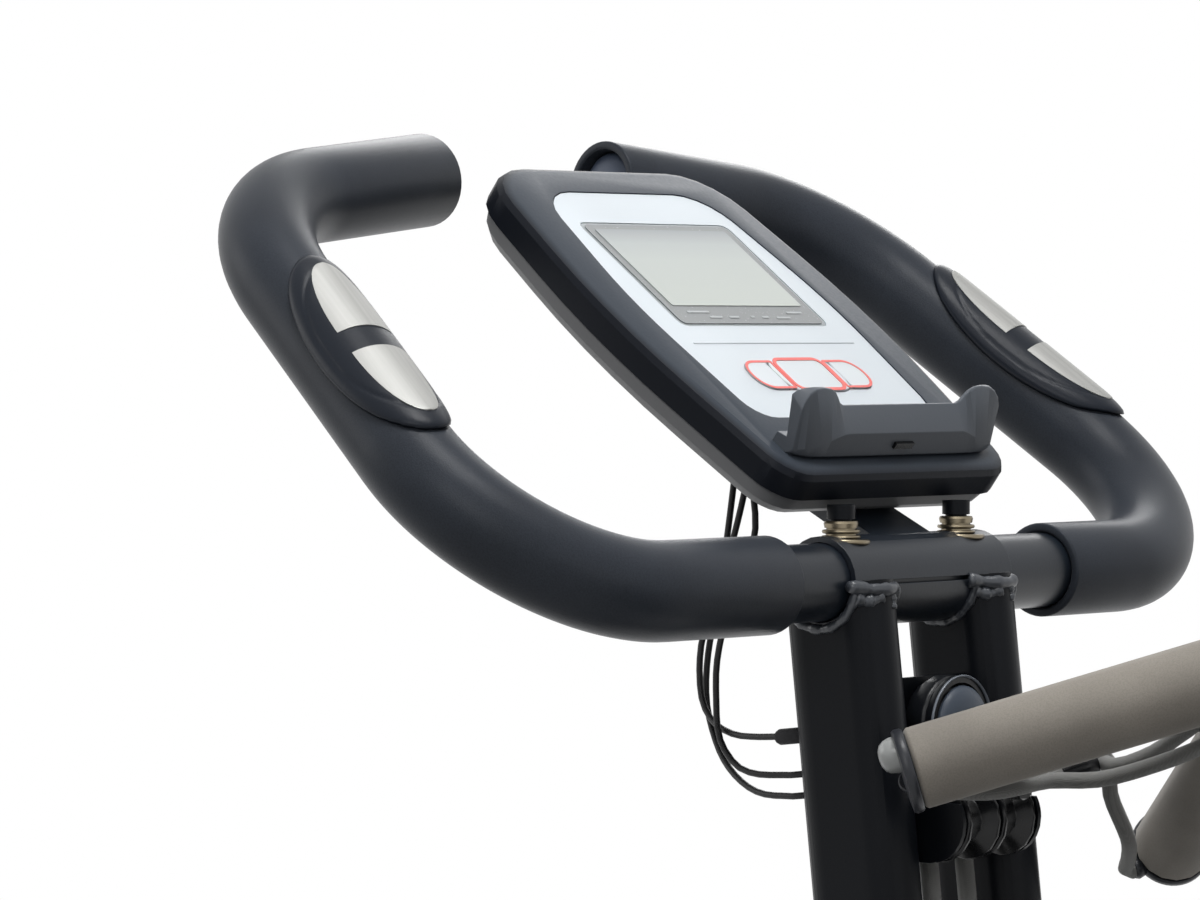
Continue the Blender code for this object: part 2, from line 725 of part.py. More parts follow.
def face_outline(grow):
    low, mid, high = FACE_HALF_LOW + grow, FACE_HALF_MID + grow, FACE_HALF_HIGH + grow
    middle = (FACE_LOW + FACE_HIGH) / 2
    corners = [(-low, FACE_LOW - grow), (low, FACE_LOW - grow), (mid, middle),
               (high, FACE_HIGH + grow), (-high, FACE_HIGH + grow), (-mid, middle)]
    return rounded_outline(corners, [0.012, 0.012, 0.20, 0.021, 0.021, 0.20], 5)


def slab(outline, low, high):
    return loft([[on_console(x, s, h) for x, s in outline] for h in (low, high)])


def key_outline(name, grow):
    height = KEY_HALF_HEIGHT + grow
    if name == "middle":
        low, high, radii = -KEY_MID_HALF, KEY_MID_HALF, (0.0065, 0.0065, 0.0065, 0.0065)
    elif name == "left":
        low, high, radii = -KEY_REACH, -KEY_MID_HALF - 2 * GAP, (0.008, 0.001, 0.001, 0.008)
    else:
        low, high, radii = KEY_MID_HALF + 2 * GAP, KEY_REACH, (0.001, 0.008, 0.008, 0.001)
    low, high = low - grow, high + grow
    if name != "middle":
        height -= 0.0015
    corners = [(low, KEY_CENTRE - height), (high, KEY_CENTRE - height),
               (high, KEY_CENTRE + height), (low, KEY_CENTRE + height)]
    return rounded_outline(corners, radii, 3)


def lens_outline(grow):
    w = LENS_HALF_WIDTH + grow
    corners = [(-w, LENS_LOW - grow), (w, LENS_LOW - grow), (w, LENS_HIGH + grow), (-w, LENS_HIGH + grow)]
    return rounded_outline(corners, [0.004] * 4, 3)


def build_console():
    """Two shells, the face with its window and keys, and the phone ledge."""
    top_rings = [(-SHELL_RIM, 0.0), (-0.0035, 0.0), (-0.0012, 0.0012), (0.0, 0.0045)]
    rings = [[on_console(x, s, h) for x, s in console_outline(inset)] for h, inset in top_rings]
    top = add_object("console_top_shell", loft(rings), DARK_PLASTIC)
    floor = -FACE_THICKNESS - GAP - KEY_TRAVEL
    boolean(top, slab(face_outline(GAP), floor, 0.01), "DIFFERENCE", "face_pocket")
    back_top = -SHELL_RIM - GAP
    back_rings = [(back_top, 0.0012), (back_top - 0.006, 0.0028), (back_top - SHELL_BACK + 0.0025, 0.0055),
                  (back_top - SHELL_BACK, 0.0110)]
    rings = [[on_console(x, s, h) for x, s in console_outline(inset)] for h, inset in back_rings]
    add_object("console_back_shell", loft(rings), GREY_PLASTIC)
    plate_low = floor + GAP
    plate_high = -0.0004
    plate = add_object("console_faceplate", slab(face_outline(0.0), plate_low, plate_high), PALE_PLASTIC)
    boolean(plate, slab(lens_outline(GAP), plate_low - 0.01, 0.01), "DIFFERENCE", "window")
    add_object("display_lens", slab(lens_outline(0.0), plate_low, plate_high), LENS)
    for name in ("left", "middle", "right"):
        boolean(plate, slab(key_outline(name, GAP), plate_low - 0.01, 0.01), "DIFFERENCE", "key_hole_" + name)
        outline = key_outline(name, 0.0)
        high = 0.0003
        rings = [[on_console(x, s, h) for x, s in outline] for h in (high - KEY_THICKNESS, high)]
        add_object("key_" + name, loft(rings), PALE_PLASTIC, on_console(0.0, KEY_CENTRE, 0.0))
    build_ledge()


def build_ledge():
    """A gutter for a phone's lower edge, with a rounded horn at each end of its lip."""
    rows = [(-x, s, h) for x, s, h in reversed(LEDGE_LIP[1:])] + list(LEDGE_LIP)
    rings = []
    for x, s, h in rows:
        flare = max(0.0, h - LEDGE_LIP[0][2]) * 0.25
        profile = [(LEDGE_LOW, GAP), (LEDGE_HIGH, GAP), (LEDGE_HIGH, 0.0018), (LEDGE_LOW + 0.0085, 0.0042),
                   (s + 0.0004, h - 0.0014), (s, h), (s - 0.0012, h + 0.0003),
                   (LEDGE_LOW + 0.001, LEDGE_CREASE + flare), (LEDGE_LOW, LEDGE_CREASE - 0.001)]
        rings.append([on_console(x, run, height) for run, height in profile])
    add_object("phone_ledge", loft(rings), DARK_PLASTIC, sharp=50)


def bracket_block():
    """The bent block, welded on the clamp's cap, that carries the console."""
    under = -SHELL_RIM - GAP - SHELL_BACK - GAP
    low = on_console(0.0, SHELL_LOW + 0.0125, under)
    high = on_console(0.0, SHELL_LOW + 0.052, under)
    seat = CLAMP_Z + BAR_RADIUS + GAP + SLEEVE_WALL * 0.4
    outline = [(CLAMP_Y - 0.004, seat - 0.0004), (CLAMP_Y + 0.008, seat - 0.0018), (high.y + 0.004, high.z - 0.012),
               (high.y, high.z), (low.y, low.z)]
    half = CONSOLE_BRACKET_HALF
    return plate_yz(outline, -half, half)


# Pulleys, bands and tension knob


def build_yoke():
    """A channel between the uprights: its back carries the knob, and its ears carry the pulley axle."""
    outer = UPRIGHT_SPACING / 2 - UPRIGHT_WIDTH / 2 - GAP
    inner = outer - YOKE_WALL
    ear_end = PULLEY_Y - EAR_RADIUS
    outline = [(-outer, YOKE_BACK), (-outer, ear_end), (-inner, ear_end), (-inner, YOKE_BACK - YOKE_WALL),
               (inner, YOKE_BACK - YOKE_WALL), (inner, ear_end), (outer, ear_end), (outer, YOKE_BACK)]
    rings = [[from_clamp(x, y, z) for x, y in outline] for z in (YOKE_LOW, YOKE_HIGH)]
    yoke = add_object("pulley_yoke", loft(rings), BLACK_PAINT)
    step = YOKE_BACK - YOKE_WALL
    box = [(-0.04, step), (0.04, step), (0.04, ear_end - 0.01), (-0.04, ear_end - 0.01)]
    rings = [[from_clamp(x, y, z) for x, y in box] for z in (YOKE_STEP, YOKE_HIGH + 0.01)]
    boolean(yoke, loft(rings), "DIFFERENCE", "ear_step")
    for label, start, end in (("low", 1.5 * pi, pi), ("high", pi, 0.78 * pi)):
        arc = [start + (end - start) * i / 6 for i in range(7)]
        edge = [(PULLEY_Y + EAR_RADIUS * cos(a), PULLEY_Z + EAR_RADIUS * sin(a)) for a in arc]
        far = PULLEY_Y - EAR_RADIUS - 0.01
        away = PULLEY_Z + (-0.03 if label == "low" else 0.03)
        corner = [(far, edge[-1][1]), (far, away), (edge[0][0], away)] if label == "low" else [
            (edge[-1][0], away), (far, away), (far, edge[0][1])]
        outline = [(CLAMP_Y + y, CLAMP_Z + z) for y, z in edge + corner]
        boolean(yoke, plate_yz(outline, -0.04, 0.04), "DIFFERENCE", "ear_round_" + label)
    axle = from_clamp(0.0, PULLEY_Y, PULLEY_Z)
    axle_end = X_AXIS * (outer - YOKE_WALL / 2)
    boolean(yoke, rod(axle - axle_end, axle + axle_end, AXLE_RADIUS, 12), "UNION", "axle")
    knob = from_clamp(0.0, YOKE_BACK - YOKE_WALL, KNOB_Z)
    boolean(yoke, rod(knob + Vector((0, 0.03, 0)), knob - Vector((0, 0.03, 0)), 0.0045 + HOLE_GAP, 12),
            "DIFFERENCE", "knob_hole")
    for side, label in ((-1, "left"), (1, "right")):
        w, rim = PULLEY_HALF_WIDTH, PULLEY_RIM
        bore = AXLE_RADIUS + HOLE_GAP
        r, groove = PULLEY_RADIUS, PULLEY_GROOVE
        profile = [(bore, -w), (r - 0.001, -w), (r, -w + 0.0007), (r, -w + rim), (groove, -w + rim + 0.0025),
                   (groove, w - rim - 0.0025), (r, w - rim), (r, w - 0.0007), (r - 0.001, w), (bore, w)]
        centre = axle + X_AXIS * (side * PULLEY_X)
        add_object("pulley_" + label, turned(profile, centre, X_AXIS, 16, True), RUBBER, centre)
    build_knob(knob)


def build_knob(seat):
    """A domed knob with a raised rim and a stem through the yoke."""
    r = KNOB_RADIUS
    profile = [(0.0045, -0.006), (0.0045, GAP), (0.012, GAP), (0.0160, 0.0025), (r, 0.0070), (r, 0.0120),
               (r - 0.0010, 0.0132), (r - 0.0024, 0.0126), (r - 0.0036, 0.0108), (r - 0.0046, 0.0126),
               (r - 0.0062, 0.0152), (r - 0.0095, 0.0170), (r - 0.0140, 0.0178)]
    add_object("tension_knob", turned(profile, seat, (0, -1, 0), 18), RUBBER, seat)


def band_points(side):
    """A band's route: up from its anchor, over the pulley and back to its ferrule."""
    x = side * PULLEY_X
    wrap = PULLEY_GROOVE + BAND_RADIUS + 0.0004
    lean = UPRIGHT_LEAN
    foot_z = ANCHOR_Z + ANCHOR_THICKNESS / 2 + GAP
    base_y = PULLEY_Y + wrap
    drop = foot_z - PULLEY_Z
    points = [(x, base_y + lean * drop, foot_z), (x, base_y + lean * drop, foot_z + 0.012)]
    points += [(x, base_y + lean * drop * share, PULLEY_Z + drop * share) for share in (0.75, 0.5, 0.25, 0.06)]
    for angle in (0, 20, 40, 60, 80, 95):
        points.append((x, PULLEY_Y + wrap * cos(radians(angle)), PULLEY_Z + wrap * sin(radians(angle))))
    if side > 0:
        points += [(x + 0.0006, -0.0410, -0.0738), (0.0150, -0.0475, -0.0730), (0.0225, -0.0520, -0.0722)]
        ferrule = [(0.0300, -0.0560, -0.0706), (0.0385, -0.0605, -0.0680)]
    else:
        points += [(x, -0.0410, -0.0738), (x, -0.0470, -0.0733)]
        ferrule = [(x, -0.0560, -0.0728), (x, -0.0650, -0.0722)]
    return [from_clamp(*p) for p in points + ferrule]


def build_bands():
    """Two elastic cords, each swelling into a ferrule, and the bar that anchors them."""
    for side, label in ((-1, "left"), (1, "right")):
        sizes = [(0, FERRULE_RADIUS / BAND_RADIUS), (1, 0.88 * FERRULE_RADIUS / BAND_RADIUS)]
        cord_object("band_" + label, band_points(side), BAND_RADIUS, GREY_CORD, 0, 2, sizes)
    outer = UPRIGHT_SPACING / 2 - UPRIGHT_WIDTH / 2 - GAP
    y = upright_y(ANCHOR_Z) - CLAMP_Y
    base = PULLEY_Y + PULLEY_GROOVE + BAND_RADIUS + UPRIGHT_LEAN * (ANCHOR_Z - PULLEY_Z)
    outline = [(base - 0.008, ANCHOR_Z - ANCHOR_THICKNESS / 2), (y + 0.010, ANCHOR_Z - ANCHOR_THICKNESS / 2),
               (y + 0.010, ANCHOR_Z + ANCHOR_THICKNESS / 2), (base - 0.008, ANCHOR_Z + ANCHOR_THICKNESS / 2)]
    outline = [(CLAMP_Y + a, CLAMP_Z + b) for a, b in outline]
    add_object("band_anchor", plate_yz(outline, -outer, outer), BLACK_PAINT)


def build_handle(label, end, axis, ties, loop):
    """A foam grip on a core with capped, domed ends, and the cord that ties it to its ferrule."""
    start = from_clamp(*end)
    axis = Vector(axis).normalized()
    length = HANDLE_LENGTH
    edge = 0.0012
    bore = HANDLE_CORE_RADIUS + GAP
    r = HANDLE_FOAM_RADIUS
    profile = [(bore, 0.0), (r - edge, 0.0), (r, edge), (r * 1.012, length / 2), (r, length - edge),
               (r - edge, length), (bore, length)]
    add_object("handle_foam_" + label, turned(profile, start, axis, 16, True), TAUPE_FOAM, start)
    dome = HANDLE_DOME_RADIUS
    half = [(0.002, -GAP - HANDLE_CAP - HANDLE_DOME), (dome * 0.62, -GAP - HANDLE_CAP - HANDLE_DOME * 0.82),
            (dome, -GAP - HANDLE_CAP - HANDLE_DOME * 0.4), (dome, -GAP - HANDLE_CAP),
            (r + 0.0002, -GAP - HANDLE_CAP), (r + 0.0006, -GAP - HANDLE_CAP / 2), (r + 0.0002, -GAP),
            (HANDLE_CORE_RADIUS, -GAP)]
    core = half + [(radius, length - run) for radius, run in reversed(half)]
    add_object("handle_core_" + label, turned(core, start, axis, 14), SILVER, start)
    near = start - axis * (GAP + HANDLE_CAP / 2)
    far = start + axis * (length + GAP + HANDLE_CAP / 2)
    route = tie_off(near, axis, ties[0], r) + [from_clamp(*p) for p in loop]
    route += list(reversed(tie_off(far, axis, ties[1], r)))
    cord_object("stirrup_" + label, route, STIRRUP_RADIUS, GREY_CORD, 1.5, 2)


def tie_off(cap, axis, direction, radius):
    """The two points where a stirrup leaves the side of an end cap."""
    direction = Vector(direction)
    direction = (direction - axis * direction.dot(axis)).normalized()
    out = radius + 0.0006 + GAP
    return [cap + direction * out, cap + direction * (out + 0.003)]


def build_handles():
    left_loop = [(-0.0390, -0.0390, -0.0735), (-0.0345, -0.0470, -0.0745), (-0.0275, -0.0620, -0.0745),
                 (-0.0190, -0.0690, -0.0728), (-0.0108, -0.0686, -0.0722), (-0.0010, -0.0700, -0.0715),
                 (0.0110, -0.0840, -0.0710), (0.0185, -0.1060, -0.0640), (0.0225, -0.1250, -0.0560)]
    right_loop = [(0.1110, -0.0250, -0.1145), (0.1000, -0.0340, -0.1090), (0.0850, -0.0440, -0.1000),
                  (0.0700, -0.0470, -0.0840), (0.0640, -0.0500, -0.0750), (0.0570, -0.0540, -0.0680),
                  (0.0466, -0.0560, -0.0645), (0.0408, -0.0622, -0.0672), (0.0394, -0.0715, -0.0685),
                  (0.0412, -0.0860, -0.0630), (0.0400, -0.0980, -0.0560)]
    build_handle("left", LEFT_HANDLE_END, LEFT_HANDLE_AXIS, [(0.764, 0.645, -0.35), (0.185, -0.219, -0.958)],
                 left_loop)
    build_handle("right", RIGHT_HANDLE_END, RIGHT_HANDLE_AXIS,
                 [(-0.756, 0.440, -0.485), (-0.734, 0.677, 0.064)], right_loop)


WIRE_ROUTES = {
    "console_wire": (-0.026, -0.046, [(-0.0260, 0.0560, 0.0200), (-0.0255, 0.0650, -0.0050),
                                      (-0.0255, 0.0735, -0.0250), (-0.0262, 0.0735, -0.0440),
                                      (-0.0290, 0.0660, -0.0540), (-0.0320, 0.0540, -0.0585),
                                      (-0.0345, 0.0410, -0.0590)], -0.0570),
    "sensor_wire_left": (-0.034, -0.056, [(-0.0335, 0.0420, 0.0150), (-0.0320, 0.0540, -0.0080),
                                          (-0.0315, 0.0610, -0.0300), (-0.0330, 0.0605, -0.0460),
                                          (-0.0348, 0.0575, -0.0600), (-0.0360, 0.0490, -0.0695),
                                          (-0.0370, 0.0380, -0.0725)], -0.0712),
    "sensor_wire_right": (-0.021, -0.034, [(-0.0210, 0.0640, 0.0200), (-0.0205, 0.0690, -0.0060),
                                           (-0.0205, 0.0745, -0.0300), (-0.0215, 0.0745, -0.0470),
                                           (-0.0240, 0.0690, -0.0600), (-0.0280, 0.0600, -0.0700),
                                           (-0.0320, 0.0480, -0.0770), (-0.0350, 0.0360, -0.0800)], -0.0790),
}


def build_wires():
    """Three wires that leave the console's back square to it and enter the left upright's front."""
    under = -SHELL_RIM - GAP - SHELL_BACK - GAP
    for name, (across, run, bow, low) in WIRE_ROUTES.items():
        face = upright_y(low) + (UPRIGHT_DEPTH / 2 + GAP) / cos(atan2(UPRIGHT_LEAN, 1.0)) - CLAMP_Y
        x = -UPRIGHT_SPACING / 2
        points = [on_console(across, run, under), on_console(across, run, under - 0.008)]
        points += [from_clamp(*p) for p in bow]
        points += [from_clamp(x, face + 0.008, low - 0.008 * UPRIGHT_LEAN), from_clamp(x, face, low)]
        sizes = [(0, 2.2), (1, 2.4), (2, 2.2)] if name == "console_wire" else None
        cord_object(name, points, WIRE_RADIUS, RUBBER, 3.0, 1, sizes)


# Seat leg, seat and lock


def seat_tube_base():
    slope = LEG_DOWN.z / LEG_DOWN.y
    return Vector((0.0, LEG_TURN_Y, PIVOT_Z + slope * (LEG_TURN_Y - PIVOT_Y)))


def seat_tube_axis():
    return Vector((0.0, -sin(SEAT_TUBE_LEAN), cos(SEAT_TUBE_LEAN)))


def build_seat_leg():
    """The leg from the front foot through the pivot to the seat tube, which is bored for the post."""
    base = seat_tube_base()
    axis = seat_tube_axis()
    top = base + axis * SEAT_TUBE_LENGTH
    path = rounded_path([FRONT_FOOT, base, top], [LEG_TURN_RADIUS], 9)
    section = [(y, x) for x, y in flat_oval(LEG_WIDTH, LEG_DEPTH, 18)]
    leg = add_object("seat_leg", loft(sweep(path, section, X_AXIS)), BLACK_PAINT)
    inner = UPRIGHT_SPACING / 2 - UPRIGHT_WIDTH / 2 - GAP
    boolean(leg, rod(PIVOT - X_AXIS * inner, PIVOT + X_AXIS * inner, SLEEVE_RADIUS, 20), "UNION", "pivot_sleeve")
    boolean(leg, rod(PIVOT - X_AXIS * 0.05, PIVOT + X_AXIS * 0.05, PIVOT_RADIUS + HOLE_GAP, 16),
            "DIFFERENCE", "pivot_hole")
    boolean(leg, rod(FRONT_FOOT - X_AXIS * 0.05, FRONT_FOOT + X_AXIS * 0.05, FOOT_RADIUS + GAP, 28),
            "DIFFERENCE", "foot_saddle")
    bore = [(y, x) for x, y in flat_oval(POST_WIDTH + 2 * HOLE_GAP, POST_DEPTH + 2 * HOLE_GAP, 14)]
    hole = [top - axis * (POST_INSERTION + 0.004), top + axis * 0.02]
    boolean(leg, loft(sweep(hole, bore, X_AXIS)), "DIFFERENCE", "post_bore")
    pin_at = seat_pin_point()
    back = seat_pin_axis()
    boolean(leg, rod(pin_at, pin_at + back * 0.05, LOCK_RADIUS + HOLE_GAP, 12), "DIFFERENCE", "pin_hole")
    knob = [(LOCK_RADIUS, POST_DEPTH / 2 + 2 * GAP), (LOCK_RADIUS, LEG_DEPTH / 2 + 0.008),
            (0.009, LEG_DEPTH / 2 + 0.008), (0.013, LEG_DEPTH / 2 + 0.016), (0.017, LEG_DEPTH / 2 + 0.020),
            (0.017, LEG_DEPTH / 2 + 0.028), (0.013, LEG_DEPTH / 2 + 0.031)]
    knob[2:2] = [(0.0095, LEG_DEPTH / 2 + GAP), (0.0095, LEG_DEPTH / 2 + 0.006)]
    knob[1] = (LOCK_RADIUS, LEG_DEPTH / 2 + GAP)
    add_object("seat_knob", turned(knob, pin_at, back, 16), RUBBER, pin_at)


def seat_pin_point():
    top = seat_tube_base() + seat_tube_axis() * SEAT_TUBE_LENGTH
    return top - seat_tube_axis() * 0.028


def seat_pin_axis():
    return Vector((0.0, -cos(SEAT_TUBE_LEAN), -sin(SEAT_TUBE_LEAN)))


def seat_corners():
    """The seat frame's corners: post foot, under the seat, behind it and up the backrest."""
    axis = seat_tube_axis()
    top = seat_tube_base() + axis * SEAT_TUBE_LENGTH
    foot = top - axis * POST_INSERTION
    under = top + axis * SEAT_RISE
    behind = under + Vector((0.0, -SEAT_RUN, 0.0))
    high = behind + Vector((0.0, -sin(BACK_LEAN), cos(BACK_LEAN))) * BACK_RISE
    return foot, under, behind, high


def build_seat():
    """An L-shaped seat frame with its post, and two sewn cushions."""
    foot, under, behind, high = seat_corners()
    path = rounded_path([foot, under, behind, high], [0.028, 0.050], 12)
    section = [(y, x) for x, y in flat_oval(POST_WIDTH, POST_DEPTH, 14)]
    add_object("seat_frame", loft(sweep(path, section, X_AXIS)), BLACK_PAINT)
    seat_z = under.z + POST_DEPTH / 2 + GAP
    centre = Vector((0.0, behind.y + POST_DEPTH / 2 + 0.030 + CUSHION_HALF_DEPTH, seat_z))
    cushion = cushion_rings(centre, X_AXIS, Vector((0, 1, 0)), Z_AXIS, CUSHION_HALF_WIDTH,
                            CUSHION_HALF_DEPTH, CUSHION_THICKNESS)
    add_object("seat_cushion", loft(cushion), VINYL, sharp=60)
    up = (high - behind).normalized()
    out = Vector((0.0, up.z, -up.y))
    centre = high - up * (BACKREST_HALF_HEIGHT - 0.030) + out * (POST_DEPTH / 2 + GAP)
    back = cushion_rings(centre, X_AXIS, up, out, BACKREST_HALF_WIDTH, BACKREST_HALF_HEIGHT,
                         BACKREST_THICKNESS)
    add_object("backrest_cushion", loft(back), VINYL, sharp=60)


def cushion_rings(centre, across, along, out, half_width, half_depth, thickness):
    """A crowned cushion with drawn-in sides and a sewn border channel."""
    layers = [(0.86, 0.00), (0.955, 0.07), (0.997, 0.28), (1.0, 0.45), (0.985, 0.64),
              (0.93, 0.80), (0.84, 0.87), (0.800, 0.865), (0.785, 0.815), (0.770, 0.865), (0.70, 0.91),
              (0.48, 0.97), (0.20, 1.0)]
    steps = 36
    rings = []
    for scale, height in layers:
        ring = []
        for index in range(steps):
            angle = 2 * pi * (index + 0.5) / steps
            c, s = cos(angle), sin(angle)
            x = abs(c) ** 0.45 * (1 if c > 0 else -1)
            y = abs(s) ** 0.45 * (1 if s > 0 else -1)
            pull = 1 - 0.035 * (sin(2 * angle) ** 2 < 0.5) * cos(2 * angle) ** 2 * (1 if scale > 0.9 else 0.6)
            taper = 1 - 0.06 * y
            ring.append(centre + across * (half_width * scale * x * pull * taper)
                        + along * (half_depth * scale * y * pull) + out * (thickness * height))
        rings.append(ring)
    return rings


def build_pivot():
    """The pivot bolt with its nut, and the pull pin beside it."""
    outer = UPRIGHT_SPACING / 2 + UPRIGHT_WIDTH / 2 + GAP
    half = [(0.010, outer + 0.0075), (0.0125, outer + 0.0065), (0.0125, outer), (PIVOT_RADIUS, outer)]
    profile = [(r, run) for r, run in half] + [(r, -run) for r, run in reversed(half)]
    add_object("pivot_bolt", turned(profile, PIVOT, X_AXIS, 18), STEEL, PIVOT)
    lock = lock_point()
    start = LEG_WIDTH / 2 + GAP
    profile = [(LOCK_RADIUS, start), (LOCK_RADIUS, outer), (0.0075, outer), (0.0075, outer + 0.008),
               (0.0115, outer + 0.010), (0.0125, outer + 0.018), (0.0125, outer + 0.024), (0.009, outer + 0.027)]
    offset = lock - PIVOT
    clear = sqrt(offset.length_squared) - 0.0125
    scale = min(1.0, (clear - 0.0005) / 0.0075)
    profile[2] = (0.0075 * scale, outer)
    profile[3] = (0.0075 * scale, outer + 0.008)
    add_object("lock_pin", turned(profile, lock, X_AXIS, 16), RUBBER, lock)


# Drive


def leg_point(run, lift):
    """A point beside the seat leg, measured down it from the pivot and off its centreline."""
    return PIVOT + LEG_DOWN * run + LEG_NORMAL * lift


CRANK_AXIS = leg_point(CRANK_RUN, CRANK_LIFT)
FLYWHEEL_AXIS = leg_point(FLYWHEEL_RUN, FLYWHEEL_LIFT)
NOSE_AXIS = leg_point(NOSE_RUN, NOSE_LIFT)


def hull_outline(circles, steps):
    """The outline of a belt drawn tight round several circles, one point for each direction."""
    points = []
    for index in range(steps):
        angle = 2 * pi * index / steps
        direction = Vector((0.0, cos(angle), sin(angle)))
        centre, radius = max(circles, key=lambda c: c[0].dot(direction) + c[1])
        point = centre + direction * radius
        points.append((point.y, point.z))
    return points


def housing_circles(inset):
    leg_top = LEG_DEPTH / 2 + GAP
    return [(CRANK_AXIS, CRANK_LIFT - leg_top - inset), (FLYWHEEL_AXIS, FLYWHEEL_LIFT - leg_top - inset),
            (NOSE_AXIS, NOSE_LIFT - leg_top - inset)]


def build_housing():
    """Two half shells that meet on the middle plane, each with a hole for the crank shaft."""
    steps = 40
    width = HOUSING_HALF_WIDTH
    wall = HOUSING_WALL
    stations = [(width, HOUSING_ROUND * 1.7), (width - 0.002, HOUSING_ROUND), (width - HOUSING_ROUND * 0.7, 0.002),
                (width - HOUSING_ROUND * 1.4, 0.0), (GAP / 2, 0.0), (GAP / 2, wall),
                (width - HOUSING_ROUND * 1.4, wall), (width - HOUSING_ROUND * 0.7 - wall, 0.002 + wall),
                (width - wall, HOUSING_ROUND + wall)]
    for side, label in ((-1, "left"), (1, "right")):
        rings = []
        for x, inset in stations:
            outline = hull_outline(housing_circles(inset), steps)
            rings.append([Vector((side * x, y, z)) for y, z in outline])
        shell = add_object("housing_" + label, loft(rings), DARK_PLASTIC)
        hole = rod(CRANK_AXIS, CRANK_AXIS + X_AXIS * (side * 0.06), SHAFT_RADIUS + HOLE_GAP, 16)
        boolean(shell, hole, "DIFFERENCE", "shaft_hole")


def build_drive():
    """The crank pulley on its shaft, the flywheel with its hub, the belt and the magnet arm."""
    end = CRANK_INNER_X + CRANK_THICKNESS
    rim = DRIVE_PULLEY_RADIUS
    lip = rim + 0.0025
    face = BELT_WIDTH / 2 + 0.001
    x = BELT_X
    s = SHAFT_RADIUS
    profile = [(s, -end), (s, x - 0.008), (0.018, x - 0.008), (0.020, x - 0.002), (rim - 0.012, x - 0.002),
               (rim - 0.010, x - face - 0.001), (lip, x - face - 0.001), (rim, x - face),
               (rim, x + face), (lip, x + face + 0.001), (rim - 0.010, x + face + 0.001),
               (rim - 0.012, x + 0.002), (0.020, x + 0.002), (0.018, x + 0.010), (s, x + 0.010), (s, end)]
    add_object("drive_pulley", turned(profile, CRANK_AXIS, X_AXIS, 24), GREY_PLASTIC, CRANK_AXIS)
    reach = HOUSING_HALF_WIDTH - HOUSING_WALL - GAP
    r, hub = FLYWHEEL_RADIUS, HUB_RADIUS
    profile = [(0.005, -reach), (0.005, x - face - 0.001), (hub + 0.002, x - face - 0.001),
               (hub, x - face), (hub, x + face), (hub + 0.002, x + face + 0.001), (0.016, -0.010),
               (r - 0.022, -0.008), (r - 0.020, -0.012), (r, -0.010), (r, 0.016), (r - 0.020, 0.018),
               (r - 0.022, 0.014), (0.014, 0.022), (0.005, 0.022), (0.005, reach)]
    add_object("flywheel", turned(profile, FLYWHEEL_AXIS, X_AXIS, 24), STEEL, FLYWHEEL_AXIS)
    outlines = []
    for x_now, grow in ((-1, GAP), (1, GAP), (1, GAP + BELT_THICKNESS), (-1, GAP + BELT_THICKNESS)):
        circles = [(CRANK_AXIS, DRIVE_PULLEY_RADIUS + grow + 0.0005), (FLYWHEEL_AXIS, HUB_RADIUS + grow + 0.0003)]
        place = BELT_X + x_now * BELT_WIDTH / 2
        outlines.append([Vector((place, y, z)) for y, z in hull_outline(circles, 40)])
    add_object("drive_belt", loft(outlines, True), RUBBER)
    build_magnet()


MAGNET_START = radians(-35)
MAGNET_SWEEP = radians(70)


def magnet_pivot():
    radius = FLYWHEEL_RADIUS + MAGNET_GAP + 0.006
    return FLYWHEEL_AXIS + Vector((0.0, cos(MAGNET_START), sin(MAGNET_START))) * radius


def build_magnet():
    """A curved arm with magnets that swings away from the flywheel's rim."""
    inner = FLYWHEEL_RADIUS + MAGNET_GAP
    outline = []
    steps = 10
    for radius, order in ((inner, 1), (inner + 0.010, -1)):
        for step in range(steps + 1)[::order]:
            angle = MAGNET_START + MAGNET_SWEEP * step / steps
            outline.append((FLYWHEEL_AXIS.y + radius * cos(angle), FLYWHEEL_AXIS.z + radius * sin(angle)))
    pivot = magnet_pivot()
    arm = add_object("magnet_arm", plate_yz(outline, -0.014, 0.020), STEEL, pivot)
    reach = HOUSING_HALF_WIDTH - HOUSING_WALL - GAP
    pin = rod(pivot - X_AXIS * reach, pivot + X_AXIS * reach, 0.004, 12)
    boolean(arm, pin, "UNION", "pivot_pin")


def build_cranks():
    """Two tapered crank arms and the pedals with their toe straps."""
    for side, label in ((-1, "left"), (1, "right")):
        inner = CRANK_INNER_X
        end = CRANK_AXIS + Vector((0.0, side * CRANK_LENGTH, 0.0))
        steps = 28
        big, small = 0.018, 0.012
        stations = [(inner, 0.0015), (inner + 0.0015, 0.0), (inner + CRANK_THICKNESS - 0.002, 0.0),
                    (inner + CRANK_THICKNESS, 0.002)]
        rings = []
        for x, inset in stations:
            outline = hull_outline([(CRANK_AXIS, big - inset), (end, small - inset)], steps)
            rings.append([Vector((side * x, y, z)) for y, z in outline])
        arm = add_object("crank_" + label, loft(rings), BLACK_PAINT, CRANK_AXIS)
        boolean(arm, rod(CRANK_AXIS, CRANK_AXIS + X_AXIS * (side * 0.1), SHAFT_RADIUS + HOLE_GAP, 16),
                "DIFFERENCE", "shaft_hole")
        boolean(arm, rod(end, end + X_AXIS * (side * 0.1), 0.006 + HOLE_GAP, 12), "DIFFERENCE", "pedal_hole")
        build_pedal(label, side, end)


